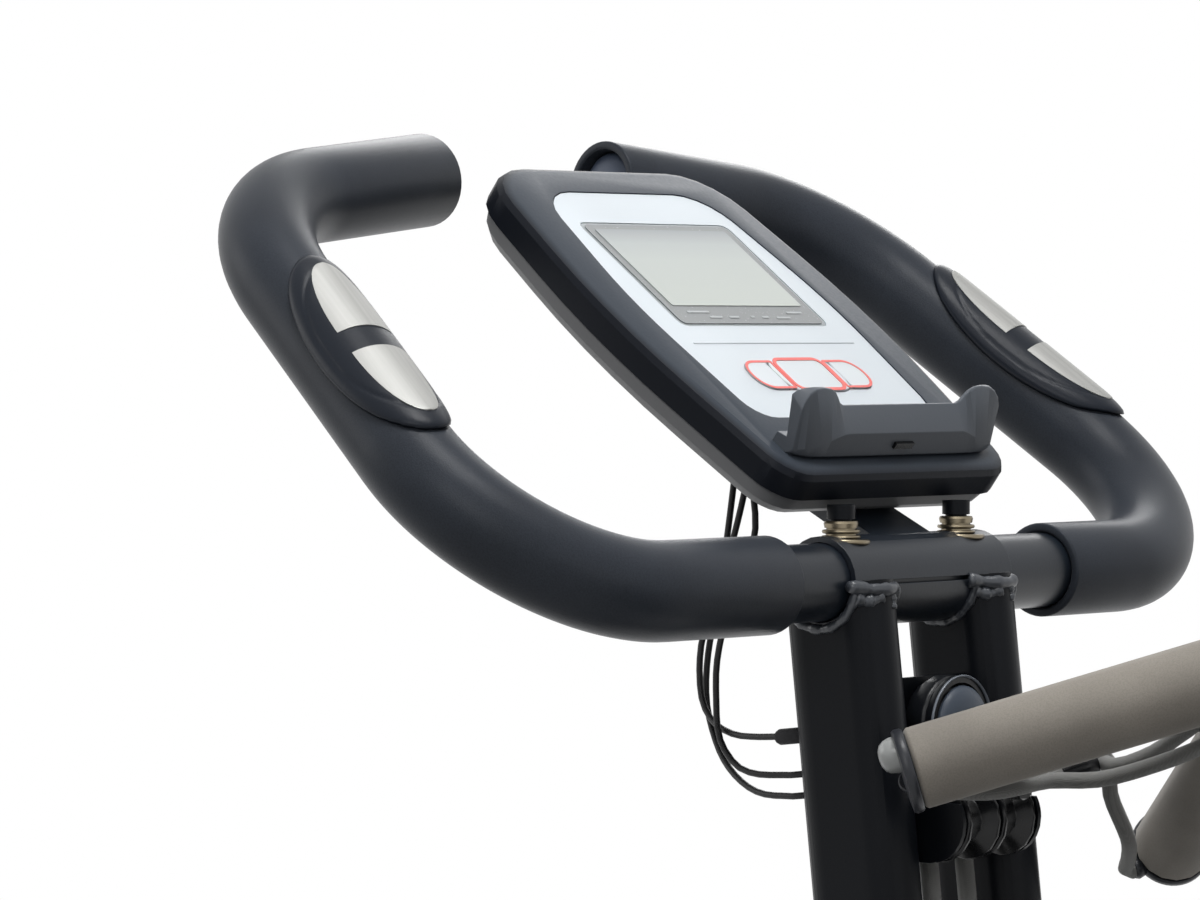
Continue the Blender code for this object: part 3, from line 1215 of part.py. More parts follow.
def build_pedal(label, side, axis_point):
    """A pedal body with a tread, its spindle and a strap arched over the foot."""
    inner = CRANK_INNER_X + CRANK_THICKNESS + 0.006
    outer = inner + PEDAL_WIDTH
    half, thick = PEDAL_HALF_LENGTH, PEDAL_THICKNESS / 2
    y, z = axis_point.y, axis_point.z
    corners = [(y - half, z - thick), (y + half, z - thick), (y + half, z + thick), (y - half, z + thick)]
    outline = rounded_outline(corners, [0.009, 0.009, 0.005, 0.005], 4)
    low, high = sorted((side * inner, side * outer))
    pedal = add_object("pedal_" + label, plate_yz(outline, low, high), RUBBER, axis_point)
    for share in (-0.5, 0.0, 0.5):
        slot_y = y + share * 2 * (half - 0.018)
        slot = [(slot_y - 0.008, z + thick - 0.006), (slot_y + 0.008, z + thick - 0.006),
                (slot_y + 0.008, z + thick + 0.01), (slot_y - 0.008, z + thick + 0.01)]
        low, high = sorted((side * (inner + 0.014), side * (outer - 0.014)))
        boolean(pedal, plate_yz(slot, low, high), "DIFFERENCE", "tread_" + str(int(share * 2 + 1)))
    spindle = rod((side * (CRANK_INNER_X + 0.0005), y, z), (side * (inner + 0.01), y, z), 0.006, 12)
    boolean(pedal, spindle, "UNION", "spindle")
    strap_low, strap_high = inner + 0.002, outer - 0.002
    top = z + STRAP_HEIGHT
    inside = [(strap_low, z), (strap_low, top - 0.020), (strap_low + 0.020, top), (strap_high - 0.020, top),
              (strap_high, top - 0.020), (strap_high, z)]
    path = rounded_path([Vector((side * a, 0.0, b)) for a, b in inside], [0.02] * 4, 20)
    width, gauge = 0.030, 0.0028
    section = [(-gauge / 2, -width / 2), (gauge / 2, -width / 2), (gauge / 2, width / 2), (-gauge / 2, width / 2)]
    rings = sweep([p + Vector((0.0, y + 0.012, 0.0)) for p in path], section, Vector((0, 1, 0)))
    boolean(pedal, loft(rings), "UNION", "strap")


def build():
    clear_scene()
    build_upright("upright_left", -1)
    build_upright("upright_right", 1)
    build_feet()
    build_handlebar()
    build_foam("foam_grip_left", -1, FOAM_START_LEFT)
    build_foam("foam_grip_right", 1, FOAM_START_RIGHT)
    for side, label in ((-1, "left"), (1, "right")):
        build_sensor("pulse_housing_" + label, side)
        build_plate("pulse_plate_lower_" + label, side, -PLATE_REACH, -PLATE_SPLIT)
        build_plate("pulse_plate_upper_" + label, side, PLATE_SPLIT, PLATE_REACH)
    build_clamp()
    build_console()
    build_yoke()
    build_bands()
    build_handles()
    build_wires()
    build_seat_leg()
    build_seat()
    build_pivot()
    build_housing()
    build_drive()
    build_cranks()


build()
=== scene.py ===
import json
from math import acos, ceil, cos, pi, radians, sin, sqrt, tan

import bmesh
import bpy
from mathutils import Matrix, Vector
from mathutils.bvhtree import BVHTree

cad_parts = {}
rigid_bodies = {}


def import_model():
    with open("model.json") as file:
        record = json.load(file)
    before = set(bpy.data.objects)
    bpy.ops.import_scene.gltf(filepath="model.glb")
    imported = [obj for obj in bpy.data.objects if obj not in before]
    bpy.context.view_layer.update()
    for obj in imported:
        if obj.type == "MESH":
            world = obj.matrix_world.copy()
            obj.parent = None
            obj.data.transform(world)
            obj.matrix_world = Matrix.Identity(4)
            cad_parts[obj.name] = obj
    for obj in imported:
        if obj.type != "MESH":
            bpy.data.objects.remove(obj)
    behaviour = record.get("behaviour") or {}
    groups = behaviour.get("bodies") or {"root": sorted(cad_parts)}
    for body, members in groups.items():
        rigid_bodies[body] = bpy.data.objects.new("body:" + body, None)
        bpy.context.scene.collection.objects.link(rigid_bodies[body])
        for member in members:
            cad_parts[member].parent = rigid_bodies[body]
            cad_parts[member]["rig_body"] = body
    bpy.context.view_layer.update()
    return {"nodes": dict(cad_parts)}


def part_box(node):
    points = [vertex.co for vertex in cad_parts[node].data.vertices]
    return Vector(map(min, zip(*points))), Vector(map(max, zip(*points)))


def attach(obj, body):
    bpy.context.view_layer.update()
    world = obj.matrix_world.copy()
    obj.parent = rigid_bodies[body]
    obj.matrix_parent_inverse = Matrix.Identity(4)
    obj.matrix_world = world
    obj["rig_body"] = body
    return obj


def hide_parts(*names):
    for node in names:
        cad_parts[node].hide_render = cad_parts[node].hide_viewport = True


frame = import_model()

# Places shared with the part's solids, in metres
CLAMP = Vector((0.0, 0.16, 1.08))
BAR_RADIUS = 0.0143
FOAM_RADIUS = 0.018
BAR_SIDE_X = 0.2187
BAR_CORNER = (0.1742, 0.1766, 0.1368)
BAR_END = (0.0525, 0.1891, 0.1495)
BAR_SIDE_BEND = 0.067
BAR_CORNER_BEND = 0.0735
BAR_PLANE = Vector((0.0, -0.61, 0.79))
FOAM_START = {-1: 0.079, 1: 0.089}
FOAM_OVERHANG = 0.006
GAP = 0.0003
CONSOLE_SLOPE = radians(37.2)
CONSOLE_AT = Vector((0.0, 0.0672, 0.0938))
SIDES = ((-1, "left"), (1, "right"))
X_AXIS = Vector((1.0, 0.0, 0.0))
Z_AXIS = Vector((0.0, 0.0, 1.0))
HANDLES = {"left": ((-0.0573, -0.050, -0.065), (0.618, -0.732, 0.287)),
           "right": ((0.130, -0.0334, -0.1064), (-0.605, -0.680, 0.430))}
HANDLE_LENGTH = 0.125
PULLEY_Y, PULLEY_Z = -0.033, -0.0875
BAND_WRAP = 0.0129
BAND_FOOT = -0.3867
UPRIGHT_X = 0.0365
UPRIGHT_HALF_DEPTH = 0.0223
UPRIGHT_LEAN = 0.116
KNOB_AT = CLAMP + Vector((0.0, -0.012, -0.0535))

# The pads on the grips: their run along the bar, half length, half angles, turn and height
SENSOR_RUN = 0.2955
SENSOR_HALF = 0.050
SENSOR_ANGLE = radians(68)
PLATE_ANGLE = radians(33)
SENSOR_TURN = radians(8)
SENSOR_PROUD = 0.0023

# The display's lowest height and its shares of the painted-shadow ramp in a metre, and the keys' middle along
# the face
DISPLAY_LOW = 1.181
DISPLAY_RISE = 34.5
KEY_ROW = -0.031

# Points closer than this are joined
MERGE = 0.00001

# The cushions: their taper, how far they swell, the seams' share of half a side, and the backrest's pose
CUSHION_TAPER = 0.06
SWELL = 0.007
SEAM_WIDTH = 0.045
BACK_LEAN = radians(11.0)
BACK_SIZE = (0.350 - 0.020, 0.260 - 0.014, 0.048)

# The camera's place and turn in the photo, and the lamps: name, place, size and power
CAMERA_AT = CLAMP + Vector((-1.6513, -1.2474, 0.0925))
CAMERA_TURN = (radians(88.75), 0.0, radians(-49.86))
CAMERA_LENS = 167.34
LAMPS = (("top_lamp", (-0.20, -0.15, 2.75), 0.8, 22.0), ("key_lamp", (-1.9, -0.7, 2.2), 0.9, 10.5),
         ("fill_lamp", (-0.4, -2.7, 1.5), 1.6, 4.5), ("rim_lamp", (1.9, 1.5, 2.2), 1.2, 14.0),
         ("front_lamp", (-1.2, 2.3, 1.8), 1.3, 9.0))
LAMPS_AIM = Vector((0.0, 0.0, 0.75))


class Signal:
    """A shader socket that can be used in sums and products."""

    def __init__(self, nodes, socket):
        self.nodes = nodes
        self.socket = socket

    def combine(self, operation, first, second):
        return self.nodes.node("ShaderNodeMath", {"operation": operation}, {0: first, 1: second})

    def __add__(self, other):
        return self.combine("ADD", self, other)

    __radd__ = __add__

    def __sub__(self, other):
        return self.combine("SUBTRACT", self, other)

    def __rsub__(self, other):
        return self.combine("SUBTRACT", other, self)

    def __mul__(self, other):
        return self.combine("MULTIPLY", self, other)

    __rmul__ = __mul__

    def highest(self, other):
        return self.combine("MAXIMUM", self, other)


class Nodes:
    """A shader tree whose nodes are added one at a time."""

    def __init__(self, tree):
        self.tree = tree

    def fill(self, target, value):
        """Links a signal into a socket or gives the socket a value, a colour without its alpha."""
        if isinstance(value, Signal):
            self.tree.links.new(value.socket, target)
        elif hasattr(target.default_value, "__len__") and len(value) == 3 and len(target.default_value) == 4:
            target.default_value = (*value, 1.0)
        else:
            target.default_value = value

    def node(self, kind, settings=None, inputs=None, output=0):
        made = self.tree.nodes.new(kind)
        for name, value in (settings or {}).items():
            if name == "stops":
                ramp = made.color_ramp
                while len(ramp.elements) < len(value):
                    ramp.elements.new(0.5)
                for element, (place, colour) in zip(ramp.elements, value):
                    element.position = place
                    element.color = (*colour, 1.0) if hasattr(colour, "__len__") else (colour,) * 3 + (1.0,)
            else:
                setattr(made, name, value)
        for name, value in (inputs or {}).items():
            self.fill(made.inputs[name], value)
        return Signal(self, made.outputs[output])

    def place(self, scale=None, kind="Object"):
        """The place on the piece, or the place stretched by a scale."""
        coordinates = self.node("ShaderNodeTexCoord", output=kind)
        if scale:
            return self.node("ShaderNodeMapping", {}, {"Vector": coordinates, "Scale": scale})
        return coordinates

    def along_axis(self, index, kind="Object"):
        return self.node("ShaderNodeSeparateXYZ", {}, {"Vector": self.place(kind=kind)}, index)

    def noise(self, scale, detail=2.0, where=None, roughness=0.5):
        where = where or self.place()
        return self.node("ShaderNodeTexNoise", {}, {"Vector": where, "Scale": scale, "Detail": detail,
                                                    "Roughness": roughness})

    def ramp(self, signal, *stops):
        return self.node("ShaderNodeValToRGB", {"stops": stops}, {"Fac": signal})

    def shades(self, signal, colour, low, high=1.0, ends=(0.3, 0.7)):
        """A ramp between a darker and a lighter share of one colour."""
        stops = [(end, [c * share for c in colour]) for end, share in zip(ends, (low, high))]
        return self.ramp(signal, *stops)


class Finish(Nodes):
    """A material made around its one Principled shader."""

    def __init__(self, name, **fixed):
        self.material = bpy.data.materials.new(name)
        self.material.use_nodes = True
        super().__init__(self.material.node_tree)
        self.shader = self.tree.nodes["Principled BSDF"]
        for socket, value in fixed.items():
            self.set(socket.replace("_", " "), value)

    def set(self, socket, value):
        self.fill(self.shader.inputs[socket], value)

    def bump(self, height, strength, distance):
        self.set("Normal", self.node("ShaderNodeBump", {}, {"Height": height, "Strength": strength,
                                                            "Distance": distance}))


def powder_coat(name, colour, roughness, shine):
    """Satin powder coat with a fine orange peel and a faint mottle."""
    finish = Finish(name, Specular_IOR_Level=shine)
    peel = finish.noise(900.0, 3.0)
    broad = finish.noise(14.0, 3.0)
    finish.set("Base Color", finish.shades(broad, colour, 0.85, 1.2))
    finish.set("Roughness", broad * 0.10 + (roughness - 0.05))
    finish.bump(peel, 0.10, 0.0004)
    return finish.material


def foam_finish(name, colour, grain, roughness, shine, sheen):
    """Closed-cell foam: fine pores over a slow change of tone."""
    finish = Finish(name, Sheen_Weight=sheen, Sheen_Roughness=0.45, Specular_IOR_Level=shine)
    pores = finish.noise(grain, 4.0, roughness=0.65)
    base = finish.shades(finish.noise(22.0, 3.0), colour, 0.86, 1.16, (0.30, 0.72))
    speck = finish.ramp(pores, (0.38, 0.72), (0.56, 1.0))
    finish.set("Base Color", finish.node("ShaderNodeMix", {"data_type": "RGBA", "blend_type": "MULTIPLY"},
                                         {"Factor": 0.5, 6: base, 7: speck}, 2))
    finish.set("Roughness", pores * 0.16 + (roughness - 0.08))
    finish.bump(pores, 0.16, 0.0004)
    return finish.material


def moulded(name, colour, roughness, grain=700.0, depth=0.12, shine=0.3):
    """Moulded plastic with a spark-eroded grain."""
    finish = Finish(name, Specular_IOR_Level=shine)
    fine = finish.noise(grain, 3.0)
    finish.set("Base Color", finish.shades(finish.noise(9.0), colour, 0.93, 1.07))
    finish.set("Roughness", fine * 0.14 + (roughness - 0.07))
    finish.bump(fine, depth, 0.0003)
    return finish.material


def printed(name, colour, roughness, grain=900.0, depth=0.02, shine=0.3):
    """A smooth film or print, with hardly any grain."""
    return moulded(name, colour, roughness, grain, depth, shine)


def brushed(name, colour, roughness, stretch, along=None, dark=0.86):
    """Steel with fine lines along one way."""
    finish = Finish(name, Metallic=1.0)
    if along:
        turn = Vector(along).to_track_quat("X", "Z").to_euler()
        where = finish.node("ShaderNodeMapping", {"vector_type": "TEXTURE"},
                            {"Vector": finish.place(), "Rotation": turn, "Scale": [1 / s for s in stretch]})
    else:
        where = finish.place(stretch)
    lines = finish.noise(1.0, 3.0, where)
    finish.set("Base Color", finish.shades(lines, colour, dark, ends=(0.25, 0.75)))
    finish.set("Roughness", lines * 0.16 + (roughness - 0.06))
    if not along:
        finish.bump(lines, 0.05, 0.0002)
    return finish.material


def rubber(name, colour, roughness):
    """Matt rubber with a fine grain."""
    finish = Finish(name, Specular_IOR_Level=0.3)
    fine = finish.noise(600.0, 3.0)
    finish.set("Base Color", finish.shades(finish.noise(30.0), colour, 0.8))
    finish.set("Roughness", fine * 0.15 + (roughness - 0.07))
    finish.bump(fine, 0.15, 0.0003)
    return finish.material


def woven(name, colour):
    """A braided cord cover: two sets of slanted threads that cross."""
    finish = Finish(name, Roughness=0.85, Sheen_Weight=0.3)
    one, two = (finish.node("ShaderNodeTexWave", {"bands_direction": "DIAGONAL"},
                            {"Vector": finish.place(mirror), "Scale": 900.0, "Distortion": 1.0,
                             "Detail": 1.0})
                for mirror in (None, (-1.0, 1.0, 1.0)))
    weave = one.highest(two)
    finish.set("Base Color", finish.shades(weave, colour, 0.6, ends=(0.1, 0.8)))
    finish.bump(weave, 0.4, 0.0005)
    return finish.material


def shell_plastic(wall, rim):
    """The console's grained plastic: a dark side wall and a paler rim around the face, the rim's paler colour
    being a painted highlight where it faces up to the light.
    """
    finish = Finish("console_top_plastic", Specular_IOR_Level=0.10)
    fine = finish.noise(700.0, 3.0)
    face = CLAMP + CONSOLE_AT
    along, up = (finish.along_axis(index) for index in (1, 2))
    height = (up - face.z) * cos(CONSOLE_SLOPE) - (along - face.y) * sin(CONSOLE_SLOPE)
    # The ramp by height paints the upward-facing rim paler as a painted highlight; the low side wall keeps
    # the plastic's dark colour.
    finish.set("Base Color", finish.ramp(height * 500.0 + 1.0, (0.35, wall), (0.9, rim)))
    finish.set("Roughness", fine * 0.14 + 0.35)
    finish.bump(fine, 0.12, 0.0003)
    return finish.material


def leatherette(name, colour):
    """Grained imitation leather."""
    finish = Finish(name, Specular_IOR_Level=0.3)
    cells = finish.node("ShaderNodeTexVoronoi", {"feature": "DISTANCE_TO_EDGE"},
                        {"Vector": finish.place(), "Scale": 420.0})
    grain = finish.ramp(cells, (0.0, 0.0), (0.12, 1.0))
    fine = finish.noise(260.0, 3.0)
    finish.set("Base Color", finish.shades(finish.noise(6.0, 3.0), colour, 0.8, 1.15))
    finish.set("Roughness", fine * 0.2 + 0.42)
    finish.bump(grain * 0.7 + fine * 0.3, 0.3, 0.0006)
    return finish.material


BLACK_PAINT = powder_coat("satin_black_paint", (0.0040, 0.0048, 0.0066), 0.36, 0.10)
# The clamp and bar tube paint is the frame's black coat made a little lighter and bluer: partly its own coat,
# partly a painted highlight tint.
CLAMP_PAINT = powder_coat("clamp_black_paint", (0.0090, 0.0125, 0.0185), 0.34, 0.36)
# The weld beads wear a lighter grey copy of the black powder coat: a painted highlight for the light on their
# lumps.
LIT_WELD_PAINT = powder_coat("weld_bead_lit_paint", (0.040, 0.045, 0.054), 0.34, 0.5)
FOAM = foam_finish("charcoal_foam", (0.0310, 0.0360, 0.0455), 1500.0, 0.36, 0.10, 0.04)
TAUPE = foam_finish("taupe_foam", (0.278, 0.254, 0.221), 1600.0, 0.80, 0.3, 0.2)
# The second colour is the painted highlight on the shell's upward-facing rim.
SHELL_TOP = shell_plastic((0.0075, 0.0092, 0.0135), (0.044, 0.053, 0.067))
SHELL_BACK = moulded("console_back_plastic", (0.175, 0.178, 0.184), 0.5)
LEDGE = moulded("ledge_plastic", (0.100, 0.111, 0.128), 0.42, shine=0.15)
SENSOR = moulded("sensor_plastic", (0.0085, 0.0115, 0.0180), 0.38, shine=0.16)
BLACK_PLASTIC = moulded("black_plastic", (0.0040, 0.0044, 0.0054), 0.26, 300.0, 0.02, 0.28)
KNOB_PLASTIC = moulded("knob_plastic", (0.0060, 0.0070, 0.0090), 0.34)
# A pale ring on the knob's dark rim: a painted highlight along its edge.
KNOB_HIGHLIGHT_RING = moulded("knob_highlight_ring_plastic", (0.155, 0.172, 0.200), 0.34)
DOME = moulded("dome_plastic", (0.34, 0.35, 0.345), 0.30, shine=0.5)
KNOB_DISC = moulded("knob_disc_plastic", (0.040, 0.052, 0.072), 0.45)
HOUSING = moulded("housing_plastic", (0.020, 0.022, 0.026), 0.42)
FACE_FILM = printed("face_film", (0.62, 0.67, 0.71), 0.32, 1200.0, shine=0.2)
KEY_FILM = printed("key_film", (0.66, 0.70, 0.73), 0.34, 1200.0, shine=0.2)
CONTACT_STEEL = {side: brushed("contact_steel_%d" % side, (0.385, 0.385, 0.372), 0.60, (12.0, 420.0, 420.0),
                               (side * (BAR_CORNER[0] - BAR_SIDE_X), BAR_CORNER[1], BAR_CORNER[2]), 0.80)
                 for side, label in SIDES}
BOLT_ZINC = brushed("yellow_zinc", (0.25, 0.212, 0.148), 0.32, (300.0, 300.0, 300.0))
STEEL = brushed("bright_steel", (0.62, 0.62, 0.62), 0.30, (300.0, 300.0, 300.0))
IRON = brushed("turned_iron", (0.38, 0.38, 0.39), 0.38, (400.0, 400.0, 400.0))
RUBBER = rubber("black_rubber", (0.014, 0.014, 0.016), 0.7)
WIRE = rubber("wire_sheath", (0.006, 0.006, 0.007), 0.45)
CORD = woven("grey_cord", (0.25, 0.25, 0.24))
VINYL = leatherette("seat_vinyl", (0.014, 0.014, 0.016))
PIPING = leatherette("piping_vinyl", (0.022, 0.022, 0.025))
CAP_GREY = moulded("cap_plastic", (0.020, 0.022, 0.027), 0.36)
PLUG = moulded("plug_plastic", (0.055, 0.070, 0.105), 0.42)


def stand(name, data):
    """A new object in the scene."""
    made = bpy.data.objects.new(name, data)
    bpy.context.scene.collection.objects.link(made)
    return made


def evaluated_mesh(holder):
    """A mesh of an object as its modifiers or its curve make it."""
    return bpy.data.meshes.new_from_object(holder.evaluated_get(bpy.context.evaluated_depsgraph_get()))


def soften(piece, width, segments):
    """Rounds a piece's edges."""
    step = piece.modifiers.new("softened_edges", "BEVEL")
    step.width = width
    step.segments = segments
    step.limit_method = "ANGLE"
    step.angle_limit = radians(32)
    step.use_clamp_overlap = True
    step.harden_normals = False


def thicken(piece, thickness):
    """Gives a surface a wall on its inner side."""
    wall = piece.modifiers.new("wall", "SOLIDIFY")
    wall.thickness = thickness
    wall.offset = -1.0


def mesh_of(name, bm):
    """A mesh from a bmesh, which is freed."""
    mesh = bpy.data.meshes.new(name)
    bm.to_mesh(mesh)
    bm.free()
    return mesh


def finish_mesh(name, bm, material, body="main_frame", replaced=(), angle=40, subdivide=0, bevel=None):
    """Turns a bmesh drawn in place into a piece that rides on a body."""
    mesh = mesh_of(name, bm)
    mesh.materials.append(material)
    mesh.shade_smooth()
    mesh.set_sharp_from_angle(angle=radians(angle))
    piece = stand(name, mesh)
    if bevel:
        soften(piece, *bevel)
    if subdivide:
        step = piece.modifiers.new("rounded", "SUBSURF")
        step.levels = subdivide
        step.render_levels = subdivide
    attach(piece, body)
    if replaced:
        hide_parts(*replaced)
    return piece


def dress(node, material, bevel, segments=2, angle=40):
    """Stands a softened copy of a CAD node in its place, with its flat neighbours joined first."""
    source = frame["nodes"][node]
    bm = bmesh.new()
    bm.from_mesh(source.data)
    bmesh.ops.remove_doubles(bm, verts=bm.verts, dist=MERGE)
    bmesh.ops.dissolve_limit(bm, angle_limit=radians(1.0), use_dissolve_boundaries=False, verts=bm.verts,
                             edges=bm.edges, delimit={"NORMAL"})
    finish_mesh(node + "_finished", bm, material, source["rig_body"], (node,), angle,
                bevel=(bevel, segments) if bevel else None)


def arc_points(before, here, after, radius, steps):
    """The rounded corner of a route, from where it leaves one line to where it joins the next."""
    back = (before - here).normalized()
    ahead = (after - here).normalized()
    angle = acos(max(-1.0, min(1.0, back.dot(ahead))))
    reach = radius / tan(angle / 2)
    centre = here + (back + ahead).normalized() * (radius / sin(angle / 2))
    start = here + back * reach - centre
    end = here + ahead * reach - centre
    turn = pi - angle
    return [centre + (start * sin((1 - s / steps) * turn) + end * sin(s / steps * turn)) / sin(turn)
            for s in range(steps + 1)]


def rounded_route(corners, radii):
    """A route through corners, each rounded to its radius."""
    route = [corners[0]]
    for index in range(1, len(corners) - 1):
        before, here, after = corners[index - 1:index + 2]
        turn = pi - (before - here).angle(after - here)
        route += arc_points(before, here, after, radii[index - 1], max(2, ceil(turn / radians(3.0))))
    return route + [corners[-1]]


def route_length(route):
    return sum((b - a).length for a, b in zip(route, route[1:]))


def smooth_route(route, count):
    """Evenly spaced points of a smooth curve through the given ones."""
    padded = [route[0] * 2 - route[1]] + route + [route[-1] * 2 - route[-2]]
    dense = []
    for index in range(1, len(padded) - 2):
        a, b, c, d = padded[index - 1:index + 3]
        for step in range(24):
            t = step / 24
            dense.append(0.5 * ((2 * b) + (c - a) * t + (2 * a - 5 * b + 4 * c - d) * t * t
                                + (3 * b - a - 3 * c + d) * t ** 3))
    dense.append(route[-1])
    total = route_length(dense)
    picked = [dense[0]]
    run = 0.0
    for p, q in zip(dense, dense[1:]):
        run += (q - p).length
        while len(picked) < count and run >= len(picked) * total / count:
            picked.append(q.copy())
    if (picked[-1] - route[-1]).length > 1e-6:
        picked.append(route[-1])
    return picked


def route_part(route, start, end):
    """The part of a route between two runs along it."""
    picked = []
    run = 0.0
    for first, second in zip(route, route[1:]):
        length = (second - first).length
        if not picked and run + length > start:
            picked.append(first.lerp(second, (start - run) / length))
        if picked and run + length >= end:
            picked.append(first.lerp(second, (end - run) / length))
            return picked
        if picked:
            picked.append(second.copy())
        run += length
    return picked


def route_at(route, run):
    """The point and the way ahead at a run along a route."""
    for first, second in zip(route, route[1:]):
        length = (second - first).length
        if run <= length:
            return first.lerp(second, run / length), (second - first).normalized()
        run -= length
    return route[-1].copy(), (route[-1] - route[-2]).normalized()


def tube(route, radius, sides, sizes=None, capped=True):
    """A round tube along a route, as a bmesh."""
    curve = bpy.data.curves.new("route", "CURVE")
    curve.dimensions = "3D"
    curve.bevel_depth = radius
    curve.bevel_resolution = max(0, (sides - 4) // 2)
    curve.use_fill_caps = capped
    spline = curve.splines.new("POLY")
    spline.points.add(len(route) - 1)
    for index, point in enumerate(route):
        spline.points[index].co = (*point, 1.0)
        spline.points[index].radius = sizes[index] if sizes else 1.0
    holder = stand("route", curve)
    mesh = evaluated_mesh(holder)
    bm = bmesh.new()
    bm.from_mesh(mesh)
    bpy.data.objects.remove(holder)
    bpy.data.meshes.remove(mesh)
    bmesh.ops.remove_doubles(bm, verts=bm.verts, dist=0.000001)
    bmesh.ops.recalc_face_normals(bm, faces=bm.faces)
    return bm


def turned(name, profile, place, axis, steps, material, body="main_frame", replaced=(), angle=40):
    """A closed turned piece from radius and run pairs, spun round its axis."""
    bm = bmesh.new()
    verts = [bm.verts.new((radius, 0.0, run)) for radius, run in profile]
    edges = [bm.edges.new(pair) for pair in zip(verts, verts[1:])]
    bmesh.ops.spin(bm, geom=verts + edges, cent=(0, 0, 0), axis=(0, 0, 1), angle=2 * pi, steps=steps,
                   use_merge=True)
    bmesh.ops.remove_doubles(bm, verts=bm.verts, dist=0.000002)
    bmesh.ops.holes_fill(bm, edges=[e for e in bm.edges if len(e.link_faces) == 1], sides=0)
    bmesh.ops.recalc_face_normals(bm, faces=bm.faces)
    turn = Z_AXIS.rotation_difference(axis.normalized()).to_matrix().to_4x4()
    bmesh.ops.transform(bm, matrix=Matrix.Translation(place) @ turn, verts=bm.verts)
    return finish_mesh(name, bm, material, body, replaced, angle)


def at_clamp(x, y, z):
    """A point given from the clamp's middle."""
    return CLAMP + Vector((x, y, z))


def all_at_clamp(places):
    return [at_clamp(*place) for place in places]


def axes_matrix(across, rise, out, place):
    """The matrix that stands three axes at a place."""
    return Matrix.Translation(place) @ Matrix((across, rise, out)).transposed().to_4x4()


CONSOLE = axes_matrix(X_AXIS, Vector((0.0, cos(CONSOLE_SLOPE), sin(CONSOLE_SLOPE))),
                      Vector((0.0, -sin(CONSOLE_SLOPE), cos(CONSOLE_SLOPE))), CLAMP + CONSOLE_AT)


def bar_route(side):
    """One half of the handlebar's middle line, from the clamp to its free end."""
    corners = ((0.0, 0.0, 0.0), (BAR_SIDE_X, 0.0, 0.0), BAR_CORNER, BAR_END)
    corners = all_at_clamp((side * x, y, z) for x, y, z in corners)
    return rounded_route(corners, (BAR_SIDE_BEND, BAR_CORNER_BEND))


def build_grips():
    """The foam sleeves, the domed plugs in their ends and the bare tube between them."""
    for side, label in SIDES:
        route = bar_route(side)
        length = route_length(route)
        part = route_part(route, FOAM_START[side], length)
        sleeve = finish_mesh("foam_sleeve_" + label, tube(part, FOAM_RADIUS, 44, capped=False), FOAM,
                             replaced=("foam_grip_" + label,), angle=30)
        thicken(sleeve, FOAM_RADIUS - BAR_RADIUS - GAP)
        soften(sleeve, 0.0010, 3)
        end, along = route_at(route, length - FOAM_OVERHANG)
        wall = BAR_RADIUS - 0.0002
        dome = [(wall, -0.0068), (wall, 0.0), (0.0137, 0.0009), (0.0125, 0.0021), (0.0102, 0.0034),
                (0.0070, 0.0042), (0.0035, 0.0046), (0.0, 0.0047)]
        turned("end_plug_" + label, dome, end, along, 40, PLUG, angle=60)
    half = bar_route(1)[1:]
    whole = [Vector((-p.x, p.y, p.z)) for p in reversed(half)] + half
    cut = FOAM_OVERHANG + 0.0066
    whole = route_part(whole, cut, route_length(whole) - cut)
    finish_mesh("bent_tube", tube(whole, BAR_RADIUS, 36), CLAMP_PAINT, replaced=("handlebar_tube",), angle=50)


def grip_point(route, run, angle, radius):
    """A point on a grip's surface, from its run along the bar and its angle round it."""
    point, tangent = route_at(route, run)
    across = tangent.cross(BAR_PLANE).normalized()
    rise = across.cross(tangent).normalized()
    return point + (across * sin(angle) + rise * cos(angle)) * radius


def plate_out(route, point):
    """The way out from the bar's middle line at a point on its pad."""
    middle = (route_at(route, SENSOR_RUN + step * 0.002)[0] for step in range(-26, 27))
    return (point - min(middle, key=lambda place: (place - point).length)).normalized()


def oval_patch(cells_long, cells_round):
    """A square grid pressed into a round-ended patch, in run and angle from -1 to 1."""
    bm = bmesh.new()
    bmesh.ops.create_grid(bm, x_segments=cells_long, y_segments=cells_round, size=1.0)
    for vert in bm.verts:
        x, y = vert.co.x, vert.co.y
        vert.co.x = x * sqrt(max(0.0, 1 - y * y / 2))
        vert.co.y = y * sqrt(max(0.0, 1 - x * x / 2))
    return bm


